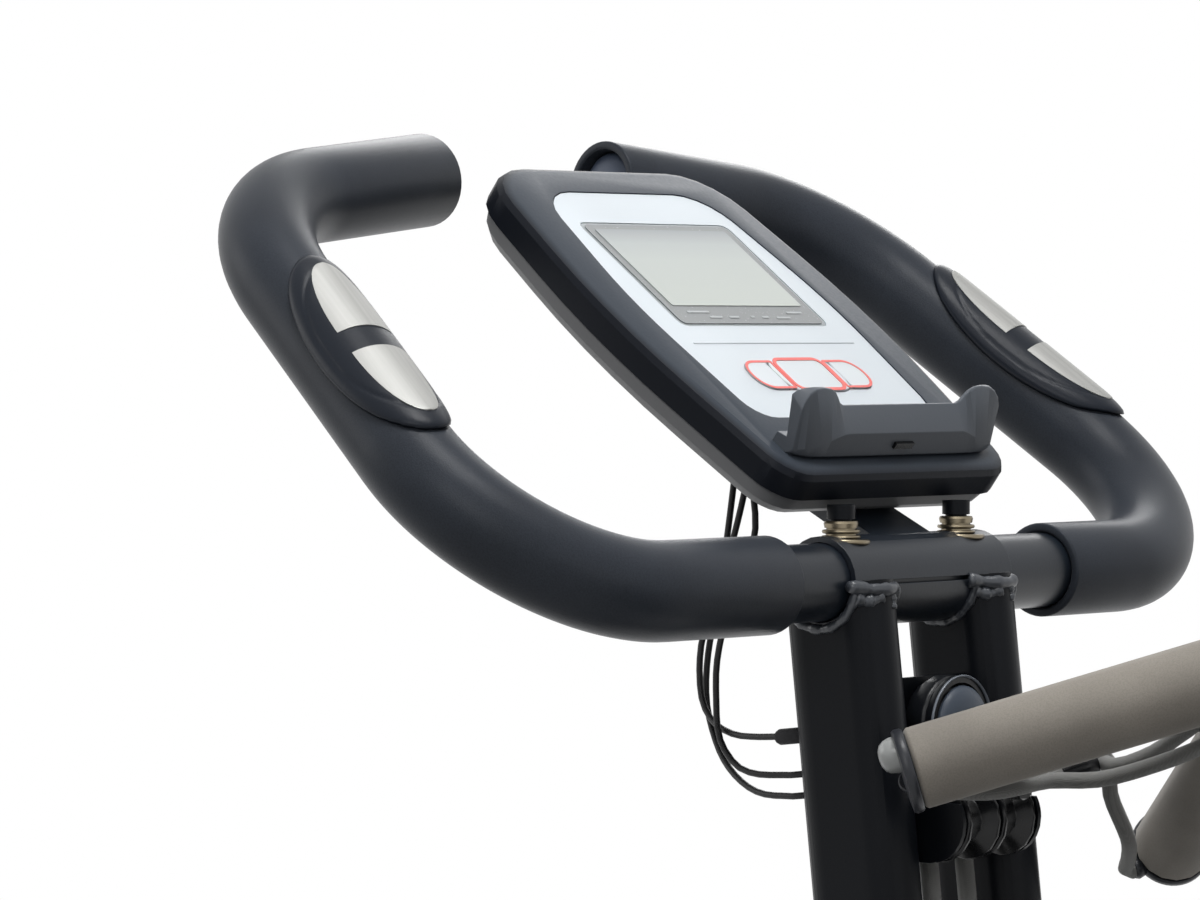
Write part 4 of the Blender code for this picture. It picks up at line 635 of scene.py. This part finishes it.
def build_sensors():
    """The pads that hug the grips and the steel contact plates set into them."""
    for side, label in SIDES:
        route = bar_route(side)
        bm = oval_patch(72, 48)
        for vert in bm.verts:
            u, v = vert.co.x, vert.co.y
            edge = min(1.0, sqrt(u * u + v * v))
            lift = SENSOR_PROUD * (0.18 + 0.82 * sqrt(max(0.0, 1 - edge ** 9))) \
                - 0.0005 * max(0.0, 1 - abs(edge - 0.80) / 0.030)
            vert.co = grip_point(route, SENSOR_RUN + u * SENSOR_HALF, v * SENSOR_ANGLE + side * SENSOR_TURN,
                                 FOAM_RADIUS + GAP + lift)
        bmesh.ops.recalc_face_normals(bm, faces=bm.faces)
        pad = finish_mesh("sensor_pad_" + label, bm, SENSOR, replaced=("pulse_housing_" + label,), angle=60)
        thicken(pad, 0.0006)
        for way, place in ((-1, "lower"), (1, "upper")):
            bm = bmesh.new()
            bmesh.ops.create_grid(bm, x_segments=26, y_segments=16, size=1.0)
            for vert in bm.verts:
                share = (vert.co.x + 1) / 2
                run = way * (0.0058 + 0.0372 * sin(share * pi / 2))
                spread = PLATE_ANGLE * max(cos(share * pi / 2), 0.0) ** 0.86
                radius = FOAM_RADIUS + GAP + SENSOR_PROUD + 0.0010 - 0.0003 * vert.co.y ** 2
                vert.co = grip_point(route, SENSOR_RUN + run, vert.co.y * spread + side * SENSOR_TURN, radius)
            bmesh.ops.remove_doubles(bm, verts=bm.verts, dist=0.00005)
            bmesh.ops.recalc_face_normals(bm, faces=bm.faces)
            rim = bmesh.ops.extrude_edge_only(bm, edges=[e for e in bm.edges if e.is_boundary])
            for vert in verts_of(rim):
                vert.co -= plate_out(route, vert.co) * 0.0010
            bmesh.ops.recalc_face_normals(bm, faces=bm.faces)
            name = place + "_" + label
            finish_mesh("contact_plate_" + name, bm, CONTACT_STEEL[side], replaced=("pulse_plate_" + name,),
                        angle=50)


def outline_face(bm, corners, radii, height, segments):
    """A flat face from corner points, with its corners rounded."""
    verts = [bm.verts.new((x, y, height)) for x, y in corners]
    face = bm.faces.new(verts)
    for vert, radius in zip(verts, radii):
        if radius:
            bmesh.ops.bevel(bm, geom=[vert], affect="VERTICES", offset=radius, offset_type="OFFSET",
                            segments=segments, profile=0.5, material=-1)
    return [f for f in bm.faces if all(abs(v.co.z - height) < 1e-7 for v in f.verts)][0]


def verts_of(made):
    """The points that an extrusion made."""
    return [item for item in made["geom"] if isinstance(item, bmesh.types.BMVert)]


def slab(name, box, radii, low, high, material, replaced=(), segments=8, width=0.0):
    """A flat plate on the console from its left, right, low and high side, or a ring of even width."""
    left, right, lower, upper = box
    corners = ((left, lower), (right, lower), (right, upper), (left, upper))
    bm = bmesh.new()
    face = outline_face(bm, corners, radii, low, segments)
    if width:
        bmesh.ops.inset_region(bm, faces=[face], thickness=width, use_boundary=True, use_even_offset=True)
        bmesh.ops.delete(bm, geom=[face], context="FACES")
    made = bmesh.ops.extrude_face_region(bm, geom=bm.faces[:])
    bmesh.ops.translate(bm, verts=verts_of(made), vec=(0, 0, high - low))
    finish_on_console(name, bm, material, replaced, 35)


def finish_on_console(name, bm, material, replaced, angle, bevel=None):
    """Closes a shape that was drawn flat and stands it on the console's slope."""
    bmesh.ops.recalc_face_normals(bm, faces=bm.faces)
    bmesh.ops.transform(bm, matrix=CONSOLE, verts=bm.verts)
    finish_mesh(name, bm, material, replaced=replaced, angle=angle, bevel=bevel)


def display_glass():
    """The display: a pale greenish grey field that darkens toward its top in a painted shadow of its frame.
    """
    finish = Finish("display_glass", Roughness=0.14, Coat_Weight=0.5, Coat_Roughness=0.05)
    share = (finish.along_axis(2) - DISPLAY_LOW) * DISPLAY_RISE
    # The darker colours toward the top are a painted shadow cast by the display's frame on the field.
    finish.set("Base Color", finish.ramp(share, (0.0, (0.475, 0.510, 0.475)), (0.6, (0.455, 0.490, 0.470)),
                                         (0.82, (0.410, 0.445, 0.440)), (1.0, (0.300, 0.325, 0.335))))
    return finish.material


# Across, then run along the face and height above it for the ledge's foot, crease, outer lip and inner lip
LEDGE_ROWS = ((0.0, -0.0818, -0.0808, 0.0112, -0.0722, 0.0172, -0.0705, 0.0168),
              (0.0345, -0.0818, -0.0808, 0.0112, -0.0722, 0.0172, -0.0705, 0.0168),
              (0.0370, -0.0818, -0.0808, 0.0108, -0.0718, 0.0182, -0.0702, 0.0179),
              (0.0390, -0.0818, -0.0809, 0.0102, -0.0711, 0.0203, -0.0695, 0.0201),
              (0.0410, -0.0817, -0.0810, 0.0095, -0.0706, 0.0220, -0.0690, 0.0219),
              (0.0440, -0.0817, -0.0811, 0.0085, -0.0702, 0.0232, -0.0686, 0.0231),
              (0.0485, -0.0816, -0.0813, 0.0070, -0.0700, 0.0236, -0.0682, 0.0235),
              (0.0530, -0.0812, -0.0812, 0.0054, -0.0702, 0.0232, -0.0676, 0.0230),
              (0.0565, -0.0804, -0.0806, 0.0043, -0.0710, 0.0220, -0.0669, 0.0221),
              (0.0590, -0.0794, -0.0797, 0.0035, -0.0722, 0.0198, -0.0663, 0.0207),
              (0.0605, -0.0784, -0.0786, 0.0029, -0.0735, 0.0168, -0.0662, 0.0188))


def build_ledge():
    """The phone ledge: a sculpted gutter whose lip rises to a rounded horn at each end."""
    rows = [(-row[0], *row[1:]) for row in reversed(LEDGE_ROWS[1:])] + list(LEDGE_ROWS)
    bm = bmesh.new()
    bmesh.ops.create_grid(bm, x_segments=len(rows) - 1, y_segments=9, size=1.0)
    for vert in bm.verts:
        x, foot, s1, h1, s2, h2, s3, h3 = rows[round((vert.co.x + 1) / 2 * (len(rows) - 1))]
        section = ((foot + 0.0020, -0.0002), (foot, 0.0016), (s1, h1), (s2, h2), (s2 + 0.0006, h2 + 0.0003),
                   (s3, h3), (-0.0735, 0.0050), (-0.0690, 0.0040), (-0.0690, -0.0002),
                   (foot + 0.0020, -0.0002))
        run, height = section[round((vert.co.y + 1) / 2 * 9)]
        vert.co = (x, run, height)
    bmesh.ops.remove_doubles(bm, verts=bm.verts, dist=MERGE)
    bmesh.ops.holes_fill(bm, edges=[e for e in bm.edges if e.is_boundary], sides=0)
    finish_on_console("ledge_moulding", bm, LEDGE, ("phone_ledge",), 50, (0.0009, 3))
    slab("ledge_notch", (-0.0055, 0.0055, -0.0826, -0.0805), (0.0,) * 4, 0.0050, 0.0075, BLACK_PLASTIC)


def build_console():
    """The console's shells, face, display and keys."""
    dress("console_top_shell", SHELL_TOP, 0.0010, 3, 30)
    dress("console_back_shell", SHELL_BACK, 0.0008, 3, 30)
    dress("console_faceplate", FACE_FILM, 0.0, 0, 30)
    border = printed("display_border", (0.33, 0.36, 0.375), 0.30, depth=0.03)
    mask = printed("display_mask", (0.245, 0.258, 0.262), 0.25)
    mark = printed("indicator_print", (0.40, 0.42, 0.43), 0.35)
    slab("display_surround", (-0.0445, 0.0445, 0.0, 0.0645), (0.004,) * 4, -0.0024, -0.0006, border,
         ("display_lens",))
    slab("display_mask", (-0.0430, 0.0430, 0.0012, 0.0632), (0.003,) * 4, -0.0004, -0.0002, mask)
    slab("display_field", (-0.0390, 0.0392, 0.0120, 0.0600), (0.001,) * 4, -0.0001, 0.0001, display_glass())
    marks = ((-0.0340, -0.0210, 0.0076), (-0.0235, -0.0160, 0.0044), (-0.0120, -0.0060, 0.0044),
             (0.0010, 0.0036, 0.0046), (0.0080, 0.0120, 0.0044), (0.0165, 0.0250, 0.0040),
             (0.0255, 0.0350, 0.0072))
    for index, (left, right, run) in enumerate(marks):
        slab("indicator_%d" % index, (left, right, run, run + 0.0011), (0.0004,) * 4, -0.0001, 0.0, mark,
             segments=2)
    red = printed("key_outline_print", (0.80, 0.155, 0.135), 0.4)
    line = printed("face_line_print", (0.50, 0.54, 0.58), 0.4)
    for name in ("left", "middle", "right"):
        dress("key_" + name, KEY_FILM, 0.0003, 2, 30)
    slab("face_divider", (-0.0485, 0.0485, -0.0112, -0.0106), (0.0,) * 4, -0.00035, -0.0002, line)
    keys = (("left", -0.0348, -0.0153, 0.0085, (0.008, 0.001, 0.001, 0.008), 0.0012, 0.00045),
            ("right", 0.0153, 0.0348, 0.0085, (0.001, 0.008, 0.008, 0.001), 0.0012, 0.00045),
            ("middle", -0.0153, 0.0153, 0.0100, (0.0050,) * 4, 0.0016, 0.00055))
    for name, left, right, half, radii, width, top in keys:
        slab("key_outline_" + name, (left, right, KEY_ROW - half, KEY_ROW + half), radii, 0.00031, top, red,
             width=width)
    build_ledge()


def weld_bead(name, route, radius, seed):
    """A weld bead: a tube whose thickness swells and falls along its route, in a lighter paint that is a
    painted highlight.
    """
    sizes = [0.92 + 0.12 * sin(step * 0.8 + seed) + 0.06 * sin(step * 2.1 + 2 * seed)
             for step in range(len(route))]
    finish_mesh(name, tube(route, radius, 12, sizes), LIT_WELD_PAINT, angle=180)


def build_clamp():
    """The split sleeve, its bolts under stacked washers, and the weld beads below it."""
    for node in ("clamp_cradle", "clamp_cap"):
        dress(node, CLAMP_PAINT, 0.0004)
    for side, label in SIDES:
        x = side * 0.0353
        washers = [(0.0042, 0.0137), (0.0078, 0.0136), (0.0083, 0.0142), (0.0080, 0.0149), (0.0062, 0.0151),
                   (0.0060, 0.0155), (0.0070, 0.0157), (0.0073, 0.0162), (0.0070, 0.0167), (0.0056, 0.0169),
                   (0.0056, 0.0173), (0.0068, 0.0176), (0.0071, 0.0182), (0.0068, 0.0188), (0.0054, 0.0190),
                   (0.0054, 0.0194), (0.0061, 0.0196), (0.0064, 0.0212), (0.0060, 0.0220), (0.0040, 0.0222)]
        bolt = at_clamp(x, 0.0, 0.0)
        turned("bolt_washers_" + label, washers, bolt, Z_AXIS, 40, BOLT_ZINC,
               replaced=("clamp_bolt_" + label,), angle=30)
        coil = [at_clamp(x + 0.0098 * cos(radians(a)), 0.0098 * sin(radians(a)),
                         0.0150 - 0.0010 * (a - 150) / 220) for a in range(150, 371, 10)]
        finish_mesh("spring_washer_" + label, tube(coil, 0.0010, 12), BOLT_ZINC, angle=60)
        stud = [(0.0, 0.0135), (0.0040, 0.0135), (0.0040, 0.0226), (0.0052, 0.0228), (0.0052, 0.0280),
                (0.0, 0.0280)]
        turned("console_stud_" + label, stud, bolt, Z_AXIS, 32, BLACK_PAINT, angle=30)
        for face in (-1, 1):
            edge = side * UPRIGHT_X + face * 0.0122
            arc = [at_clamp(edge, 0.0172 * cos(radians(a)), 0.0172 * sin(radians(a)))
                   for a in range(186, 356, 3)]
            weld_bead("saddle_weld_%s_%d" % (label, face + 1), arc, 0.0019, side * 2 + face)
        beads = (((-0.0155, -0.0176, -0.0010), (-0.0090, -0.0188, -0.0018), (-0.0040, -0.0217, -0.0022),
                  (0.0020, -0.0226, -0.0024), (0.0065, -0.0212, -0.0018)),
                 ((-0.0120, -0.0176, -0.0052), (-0.0070, -0.0198, -0.0064), (-0.0020, -0.0222, -0.0050)),
                 ((0.0028, -0.0225, -0.0030), (0.0038, -0.0225, -0.0060), (0.0034, -0.0229, -0.0092)))
        for number, (line, size) in enumerate(zip(beads, (0.0027, 0.0027, 0.0018))):
            line = smooth_route([at_clamp(side * UPRIGHT_X + x, y + 0.0010, z) for x, y, z in line], 16)
            weld_bead("front_weld_%s_%d" % (label, number), line, size, side + 1.7 * number)


def handle_line(label):
    """A handle's near end and the way to its far end."""
    end, axis = HANDLES[label]
    return at_clamp(*end), Vector(axis).normalized()


def build_handle_ends():
    """The dark caps of the band handles, with a pale dome set off centre in each."""
    cap = [(0.0, -0.004), (0.0108, -0.004), (0.0108, GAP), (0.0149, GAP), (0.0155, 0.0010), (0.0156, 0.0032),
           (0.0150, 0.0042), (0.0120, 0.0045), (0.0, 0.0045)]
    dome = [(0.0, 0.0030), (0.0066, 0.0030), (0.0066, 0.0056), (0.0060, 0.0080), (0.0048, 0.0097),
            (0.0030, 0.0107), (0.0012, 0.0110), (0.0, 0.0110)]
    for label in HANDLES:
        near, axis = handle_line(label)
        body = "handle_" + label
        for number, (place, way) in enumerate(((near, -axis), (near + axis * HANDLE_LENGTH, axis))):
            name = "%s_%d" % (label, number)
            turned("handle_cap_" + name, cap, place, way, 48, CAP_GREY, body,
                   ("handle_core_" + label,) if number == 0 else ())
            rise = (Z_AXIS - way * Z_AXIS.dot(way)).normalized()
            turned("handle_dome_" + name, dome, place + rise * 0.0068, way, 40, DOME, body, angle=60)


def tie_off(cap, axis, direction):
    """The two points where a stirrup leaves the side of a handle's cap."""
    direction = Vector(direction)
    direction = (direction - axis * direction.dot(axis)).normalized()
    out = 0.015 + 0.0006 + GAP
    return [cap + direction * out, cap + direction * (out + 0.003)]


def lay_cord(name, node, points, radius, material, body, spacing):
    """A round cord along a smooth route with straight ends."""
    middle = points[1:-1]
    count = max(8, ceil(route_length(middle) / (spacing * 2 * radius)))
    route = [points[0]] + smooth_route(middle, count) + [points[-1]]
    piece = finish_mesh(name, tube(route, radius, 16), material, body, (node,), 180)
    route_length(route)


def band_points(side):
    """A band's route, up from its anchor and over the pulley, and the two ends of its ferrule."""
    x = side * 0.0108
    drop = BAND_FOOT - PULLEY_Z
    base = PULLEY_Y + BAND_WRAP
    points = [(x, base + UPRIGHT_LEAN * drop, BAND_FOOT), (x, base + UPRIGHT_LEAN * drop, BAND_FOOT + 0.012)]
    points += [(x, base + UPRIGHT_LEAN * drop * share, PULLEY_Z + drop * share)
               for share in (0.75, 0.5, 0.25, 0.06)]
    points += [(x, PULLEY_Y + BAND_WRAP * cos(radians(angle)), PULLEY_Z + BAND_WRAP * sin(radians(angle)))
               for angle in (0, 20, 40, 60, 80, 95)]
    if side > 0:
        points += [(x + 0.0006, -0.0410, -0.0738), (0.0150, -0.0475, -0.0730), (0.0225, -0.0520, -0.0722),
                   (0.0300, -0.0560, -0.0706)]
        tip = (0.0385, -0.0605, -0.0680)
    else:
        points += [(x, -0.0410, -0.0738), (x, -0.0470, -0.0733), (x, -0.0560, -0.0728)]
        tip = (x, -0.0650, -0.0722)
    return all_at_clamp(points), all_at_clamp((points[-1], tip))


def upright_front(low):
    """How far forward the uprights' front face is at a height from the clamp."""
    return UPRIGHT_LEAN * low + UPRIGHT_HALF_DEPTH * sqrt(1 + UPRIGHT_LEAN * UPRIGHT_LEAN)


def build_bands():
    """The pull bands over the pulleys, with a ferrule on the end of each."""
    for side, label in SIDES:
        points, (start, end) = band_points(side)
        run = (end - start).length
        profile = [(0.0, -0.004), (0.0040, -0.004), (0.0050, -0.001), (0.0054, 0.001), (0.0061, run - 0.0010),
                   (0.0056, run), (0.0, run)]
        ferrule = turned("band_ferrule_" + label, profile, start, end - start, 32, BLACK_PLASTIC)
        lay_cord("pull_band_" + label, "band_" + label, points, 0.0035, CORD, "main_frame",
                 1.0)


def build_stirrups():
    """The stirrups that tie the handles to the bands, with a collar where each end leaves its cap."""
    loops = {"left": [(-0.0390, -0.0390, -0.0735), (-0.0345, -0.0470, -0.0745), (-0.0275, -0.0620, -0.0745),
                      (-0.0190, -0.0690, -0.0728), (-0.0108, -0.0686, -0.0722), (-0.0010, -0.0700, -0.0715),
                      (0.0110, -0.0840, -0.0710), (0.0185, -0.1060, -0.0640), (0.0225, -0.1250, -0.0560)],
             "right": [(0.1110, -0.0250, -0.1145), (0.1000, -0.0340, -0.1090), (0.0850, -0.0440, -0.1000),
                       (0.0700, -0.0470, -0.0840), (0.0640, -0.0500, -0.0750), (0.0570, -0.0540, -0.0680),
                       (0.0466, -0.0560, -0.0645), (0.0408, -0.0622, -0.0672), (0.0394, -0.0715, -0.0685),
                       (0.0412, -0.0860, -0.0630), (0.0400, -0.0980, -0.0560)]}
    ties = {"left": ((0.764, 0.645, -0.35), (0.185, -0.219, -0.958)),
            "right": ((-0.756, 0.440, -0.485), (-0.734, 0.677, 0.064))}
    collar = [(0.0, -0.0010), (0.0037, -0.0010), (0.0041, -0.0005), (0.0041, 0.0018), (0.0034, 0.0027),
              (0.0, 0.0027)]
    for label in HANDLES:
        end, axis = handle_line(label)
        body = "handle_" + label
        near = tie_off(end - axis * (GAP + 0.002), axis, ties[label][0])
        far = tie_off(end + axis * (HANDLE_LENGTH + GAP + 0.002), axis, ties[label][1])
        collars = [turned("stirrup_collar_%s_%d" % (label, number), collar, root, out - root, 24, CAP_GREY,
                          body)
                   for number, (root, out) in enumerate((near, far))]
        lay_cord("handle_stirrup_" + label, "stirrup_" + label, near + all_at_clamp(loops[label]) + far[::-1],
                 0.003, CORD, body, 1.0)


def build_wires():
    """The wires from under the console down to the left upright."""
    wires = {"console_wire": (-0.026, -0.046, -0.0570,
                              [(-0.0260, 0.0560, 0.0200), (-0.0255, 0.0650, -0.0050),
                               (-0.0255, 0.0735, -0.0250), (-0.0262, 0.0735, -0.0440),
                               (-0.0290, 0.0660, -0.0540), (-0.0320, 0.0540, -0.0585),
                               (-0.0345, 0.0410, -0.0590)]),
             "sensor_wire_left": (-0.034, -0.056, -0.0712,
                                  [(-0.0335, 0.0420, 0.0150), (-0.0320, 0.0540, -0.0080),
                                   (-0.0315, 0.0610, -0.0300), (-0.0330, 0.0605, -0.0460),
                                   (-0.0348, 0.0575, -0.0600), (-0.0360, 0.0490, -0.0695),
                                   (-0.0370, 0.0380, -0.0725)]),
             "sensor_wire_right": (-0.021, -0.034, -0.0790,
                                   [(-0.0210, 0.0640, 0.0200), (-0.0205, 0.0690, -0.0060),
                                    (-0.0205, 0.0745, -0.0300), (-0.0215, 0.0745, -0.0470),
                                    (-0.0240, 0.0690, -0.0600), (-0.0280, 0.0600, -0.0700),
                                    (-0.0320, 0.0480, -0.0770), (-0.0350, 0.0360, -0.0800)])}
    for node, (across, run, low, bow) in wires.items():
        face = upright_front(low)
        points = [CONSOLE @ Vector((across, run, height)) for height in (-0.0246, -0.0326)]
        points += all_at_clamp(bow)
        points.append(at_clamp(-UPRIGHT_X, face + 0.008, low - 0.008 * UPRIGHT_LEAN))
        points.append(at_clamp(-UPRIGHT_X, face, low))
        extras = []
        if node == "console_wire":
            way = (points[-1] - points[-2]).normalized()
            boot = [(0.0, 0.0), (0.0024, 0.0), (0.0030, 0.0012), (0.0030, 0.0100), (0.0020, 0.0120),
                    (0.0, 0.0122)]
            extras = [turned("wire_boot", boot, points[-1] - way * 0.0124, way, 24, RUBBER)]
        lay_cord(node + "_sheath", node, points, 0.00125, WIRE, "main_frame", 2.0)


def build_knob():
    """The knob's raised rim with a pale ring painted on as the highlight along its edge, and the disc set
    into its front.
    """
    body = frame["nodes"]["tension_knob"]["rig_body"]
    front = KNOB_AT + Vector((0.0, -0.0036, 0.0))
    rim = [(0.0158, 0.0100), (0.0180, 0.0100), (0.0183, 0.0104), (0.0183, 0.0128), (0.0158, 0.0128),
           (0.0158, 0.0100)]
    ring = [(0.0182, 0.0126), (0.0186, 0.0129), (0.0187, 0.0134), (0.0184, 0.0138), (0.0179, 0.0137),
            (0.0177, 0.0132), (0.0179, 0.0127), (0.0182, 0.0126)]
    disc = [(0.0, 0.0150), (0.0110, 0.0130), (0.0143, 0.0124), (0.0148, 0.0130), (0.0146, 0.0140),
            (0.0130, 0.0157), (0.0098, 0.0173), (0.0050, 0.0184), (0.0, 0.0187)]
    for name, profile, steps, material, angle in (("knob_rim", rim, 64, KNOB_PLASTIC, 40),
                                                  ("knob_highlight_ring", ring, 64, KNOB_HIGHLIGHT_RING, 60),
                                                  ("knob_disc", disc, 48, KNOB_DISC, 60)):
        turned(name, profile, front, Vector((0.0, -1.0, 0.0)), steps, material, body, angle=angle)


def build_rest():
    """Finishes for every other node."""
    for node in ("upright_left", "upright_right", "rear_foot_tube", "front_foot_tube", "pulley_yoke",
                 "band_anchor", "seat_leg", "seat_frame", "crank_left", "crank_right"):
        dress(node, BLACK_PAINT, 0.0005)
    others = {"tension_knob": KNOB_PLASTIC, "pulley_left": BLACK_PLASTIC, "pulley_right": BLACK_PLASTIC,
              "seat_knob": BLACK_PLASTIC, "lock_pin": BLACK_PLASTIC, "drive_pulley": BLACK_PLASTIC,
              "pedal_left": BLACK_PLASTIC, "pedal_right": BLACK_PLASTIC, "housing_left": HOUSING,
              "housing_right": HOUSING, "transport_wheel_left": RUBBER, "transport_wheel_right": RUBBER,
              "drive_belt": RUBBER, "pivot_bolt": STEEL, "flywheel": IRON, "magnet_arm": STEEL,
              "handle_foam_left": TAUPE, "handle_foam_right": TAUPE}
    for node, material in others.items():
        dress(node, material, 0.0004)


def rounded_block(width, depth, thick):
    """A cushion's plain block, a little narrower toward +Y, with its corners and rims rounded."""
    bm = bmesh.new()
    bmesh.ops.create_cube(bm, size=1.0)
    bmesh.ops.scale(bm, vec=(width, depth, thick), verts=bm.verts)
    bmesh.ops.translate(bm, vec=(0, 0, thick / 2), verts=bm.verts)
    for vert in bm.verts:
        vert.co.x *= 1 - CUSHION_TAPER * vert.co.y / (depth / 2)
    upright = [e for e in bm.edges if abs(e.verts[0].co.z - e.verts[1].co.z) > thick / 2]
    bmesh.ops.bevel(bm, geom=upright, affect="EDGES", offset=0.055, segments=8, profile=0.5, material=-1)
    rims = [e for e in bm.edges if len(e.link_faces) == 2 and e.calc_face_angle(0) > 1.2]
    bmesh.ops.bevel(bm, geom=rims, affect="EDGES", offset=thick * 0.36, segments=5, profile=0.5, material=-1)
    return bm


def blow_up(block, even):
    """Fills the block like cloth under pressure, moving no point further than SWELL."""
    blown = block.modifiers.new("filling", "CLOTH")
    blown.settings.use_pressure = True
    blown.settings.uniform_pressure_force = 4.0
    blown.settings.effector_weights.gravity = 0.0
    blown.settings.quality = 4
    scene = bpy.context.scene
    for number in range(1, 21):
        scene.frame_set(number)
    soft = evaluated_mesh(block)
    for vert, target in zip(even.vertices, soft.vertices):
        move = target.co - vert.co
        if move.length > SWELL:
            move *= SWELL / move.length
        vert.co += move
    bpy.data.meshes.remove(soft)
    block.modifiers.clear()
    scene.frame_set(1)


def press_seams(bm, half_x, half_y, thick):
    """Presses a sewn line round the crown and two across it, and keeps the underside flat."""
    for vert in bm.verts:
        x, y, z = vert.co
        vert.co.z = max(z, 0.0)
        if z > thick * 0.55:
            out = max(abs(x) / (half_x * 0.78), abs(y) / (half_y * 0.74))
            vert.co.z -= 0.0045 * max(0.0, 1 - abs(out - 1.0) / SEAM_WIDTH)
            for row in (-0.30, 0.30):
                inside = max(0.0, min(1.0, (1.0 - out) * 8))
                vert.co.z -= 0.0035 * inside * max(0.0, 1 - abs(y / half_y - row) / SEAM_WIDTH)


def filled(name, node, size, place):
    """A stuffed cushion: a block blown up as cloth, sewn round its crown and edged with piping."""
    width, depth, thick = size
    block = stand(name + "_block", mesh_of(name + "_block", rounded_block(*size)))
    step = block.modifiers.new("even_cells", "REMESH")
    step.mode = "VOXEL"
    step.voxel_size = 0.006
    even = evaluated_mesh(block)
    block.modifiers.clear()
    block.data = even
    blow_up(block, even)
    bm = bmesh.new()
    bm.from_mesh(even)
    bpy.data.objects.remove(block)
    bmesh.ops.smooth_vert(bm, verts=bm.verts, factor=0.5, use_axis_x=True, use_axis_y=True, use_axis_z=True)
    press_seams(bm, width / 2, depth / 2, thick)
    tree = BVHTree.FromBMesh(bm)
    aims = [Vector((cos(angle), sin(angle), 0.0)) for angle in (2 * pi * index / 96 for index in range(97))]
    lines = [[place @ tree.ray_cast(Z_AXIS * (thick * level) + aim * 0.6, -aim)[0] for aim in aims]
             for level in (0.66, 0.24)]
    bmesh.ops.transform(bm, matrix=place, verts=bm.verts)
    bmesh.ops.recalc_face_normals(bm, faces=bm.faces)
    piece = finish_mesh(name, bm, VINYL, "seat", (node,), 180, subdivide=1)
    for number, line in enumerate(lines):
        finish_mesh("%s_piping_%d" % (name, number), tube(line, 0.0022, 12), PIPING, "seat", angle=180)


def build_cushions():
    """The seat and the backrest."""
    low, high = (Vector(corner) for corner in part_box("seat_cushion"))
    place = Matrix.Translation((0.0, (low.y + high.y) / 2, low.z + 0.0005))
    filled("seat_pad", "seat_cushion", (high.x - low.x - 0.020, high.y - low.y - 0.014, 0.062), place)
    low, high = (Vector(corner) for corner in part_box("backrest_cushion"))
    up = Vector((0.0, -sin(BACK_LEAN), cos(BACK_LEAN)))
    out = Vector((0.0, cos(BACK_LEAN), sin(BACK_LEAN)))
    base = (low + high) / 2 - out * 0.0270
    filled("back_pad", "backrest_cushion", BACK_SIZE, axes_matrix(-X_AXIS, up, out, base))


def seen_ray(nodes):
    """One for the rays that see a background, nought for those that only light the object."""
    camera, glossy, through = (nodes.node("ShaderNodeLightPath", output=name)
                               for name in ("Is Camera Ray", "Is Glossy Ray", "Is Transmission Ray"))
    return camera.highest(glossy).highest(through)


def build_stage():
    """A pale floor, soft lamps and a camera at the photographed angle."""
    ground = bmesh.new()
    bmesh.ops.create_circle(ground, cap_ends=True, segments=96, radius=6.0)
    mesh = mesh_of("floor", ground)
    floor = stand("floor", mesh)
    floor.location = (0.0, 0.0, -0.0005)
    pale = Finish("pale_floor", Base_Color=(0.36, 0.36, 0.36), Roughness=0.9, Specular_IOR_Level=0.0,
                  Emission_Color=(1.0, 1.0, 1.0))
    away = pale.node("ShaderNodeVectorMath", {"operation": "LENGTH"}, {"Vector": pale.place()}, 1)
    pale.set("Emission Strength", seen_ray(pale) * pale.ramp(away * 0.25, (0.25, 0.72), (0.70, 1.0)))
    mesh.materials.append(pale.material)
    world = bpy.data.worlds.new("studio")
    bpy.context.scene.world = world
    world.use_nodes = True
    sky = Nodes(world.node_tree)
    soft = sky.ramp(sky.along_axis(2, "Generated") * 0.5 + 0.5, (0.48, 0.06), (0.62, 0.14), (0.95, 0.58))
    background = sky.tree.nodes["Background"]
    sky.fill(background.inputs["Color"], (1.0, 1.0, 1.0))
    sky.fill(background.inputs["Strength"], seen_ray(sky).highest(soft))
    for name, place, size, power in LAMPS:
        data = bpy.data.lights.new(name, "AREA")
        data.shape = "DISK"
        data.size = size
        data.energy = power
        lamp = stand(name, data)
        lamp.location = place
        lamp.rotation_euler = (LAMPS_AIM - Vector(place)).to_track_quat("-Z", "Y").to_euler()
    data = bpy.data.cameras.new("camera")
    data.sensor_width = 36.0
    data.lens = CAMERA_LENS
    data.clip_end = 60.0
    camera = stand("camera", data)
    camera.location = CAMERA_AT
    camera.rotation_euler = CAMERA_TURN
    bpy.context.scene.camera = camera
    bpy.context.scene.view_settings.view_transform = "Standard"


build_stage()
build_bands()
build_stirrups()
build_wires()
build_grips()
build_sensors()
build_console()
build_clamp()
build_handle_ends()
build_cushions()
build_knob()
build_rest()
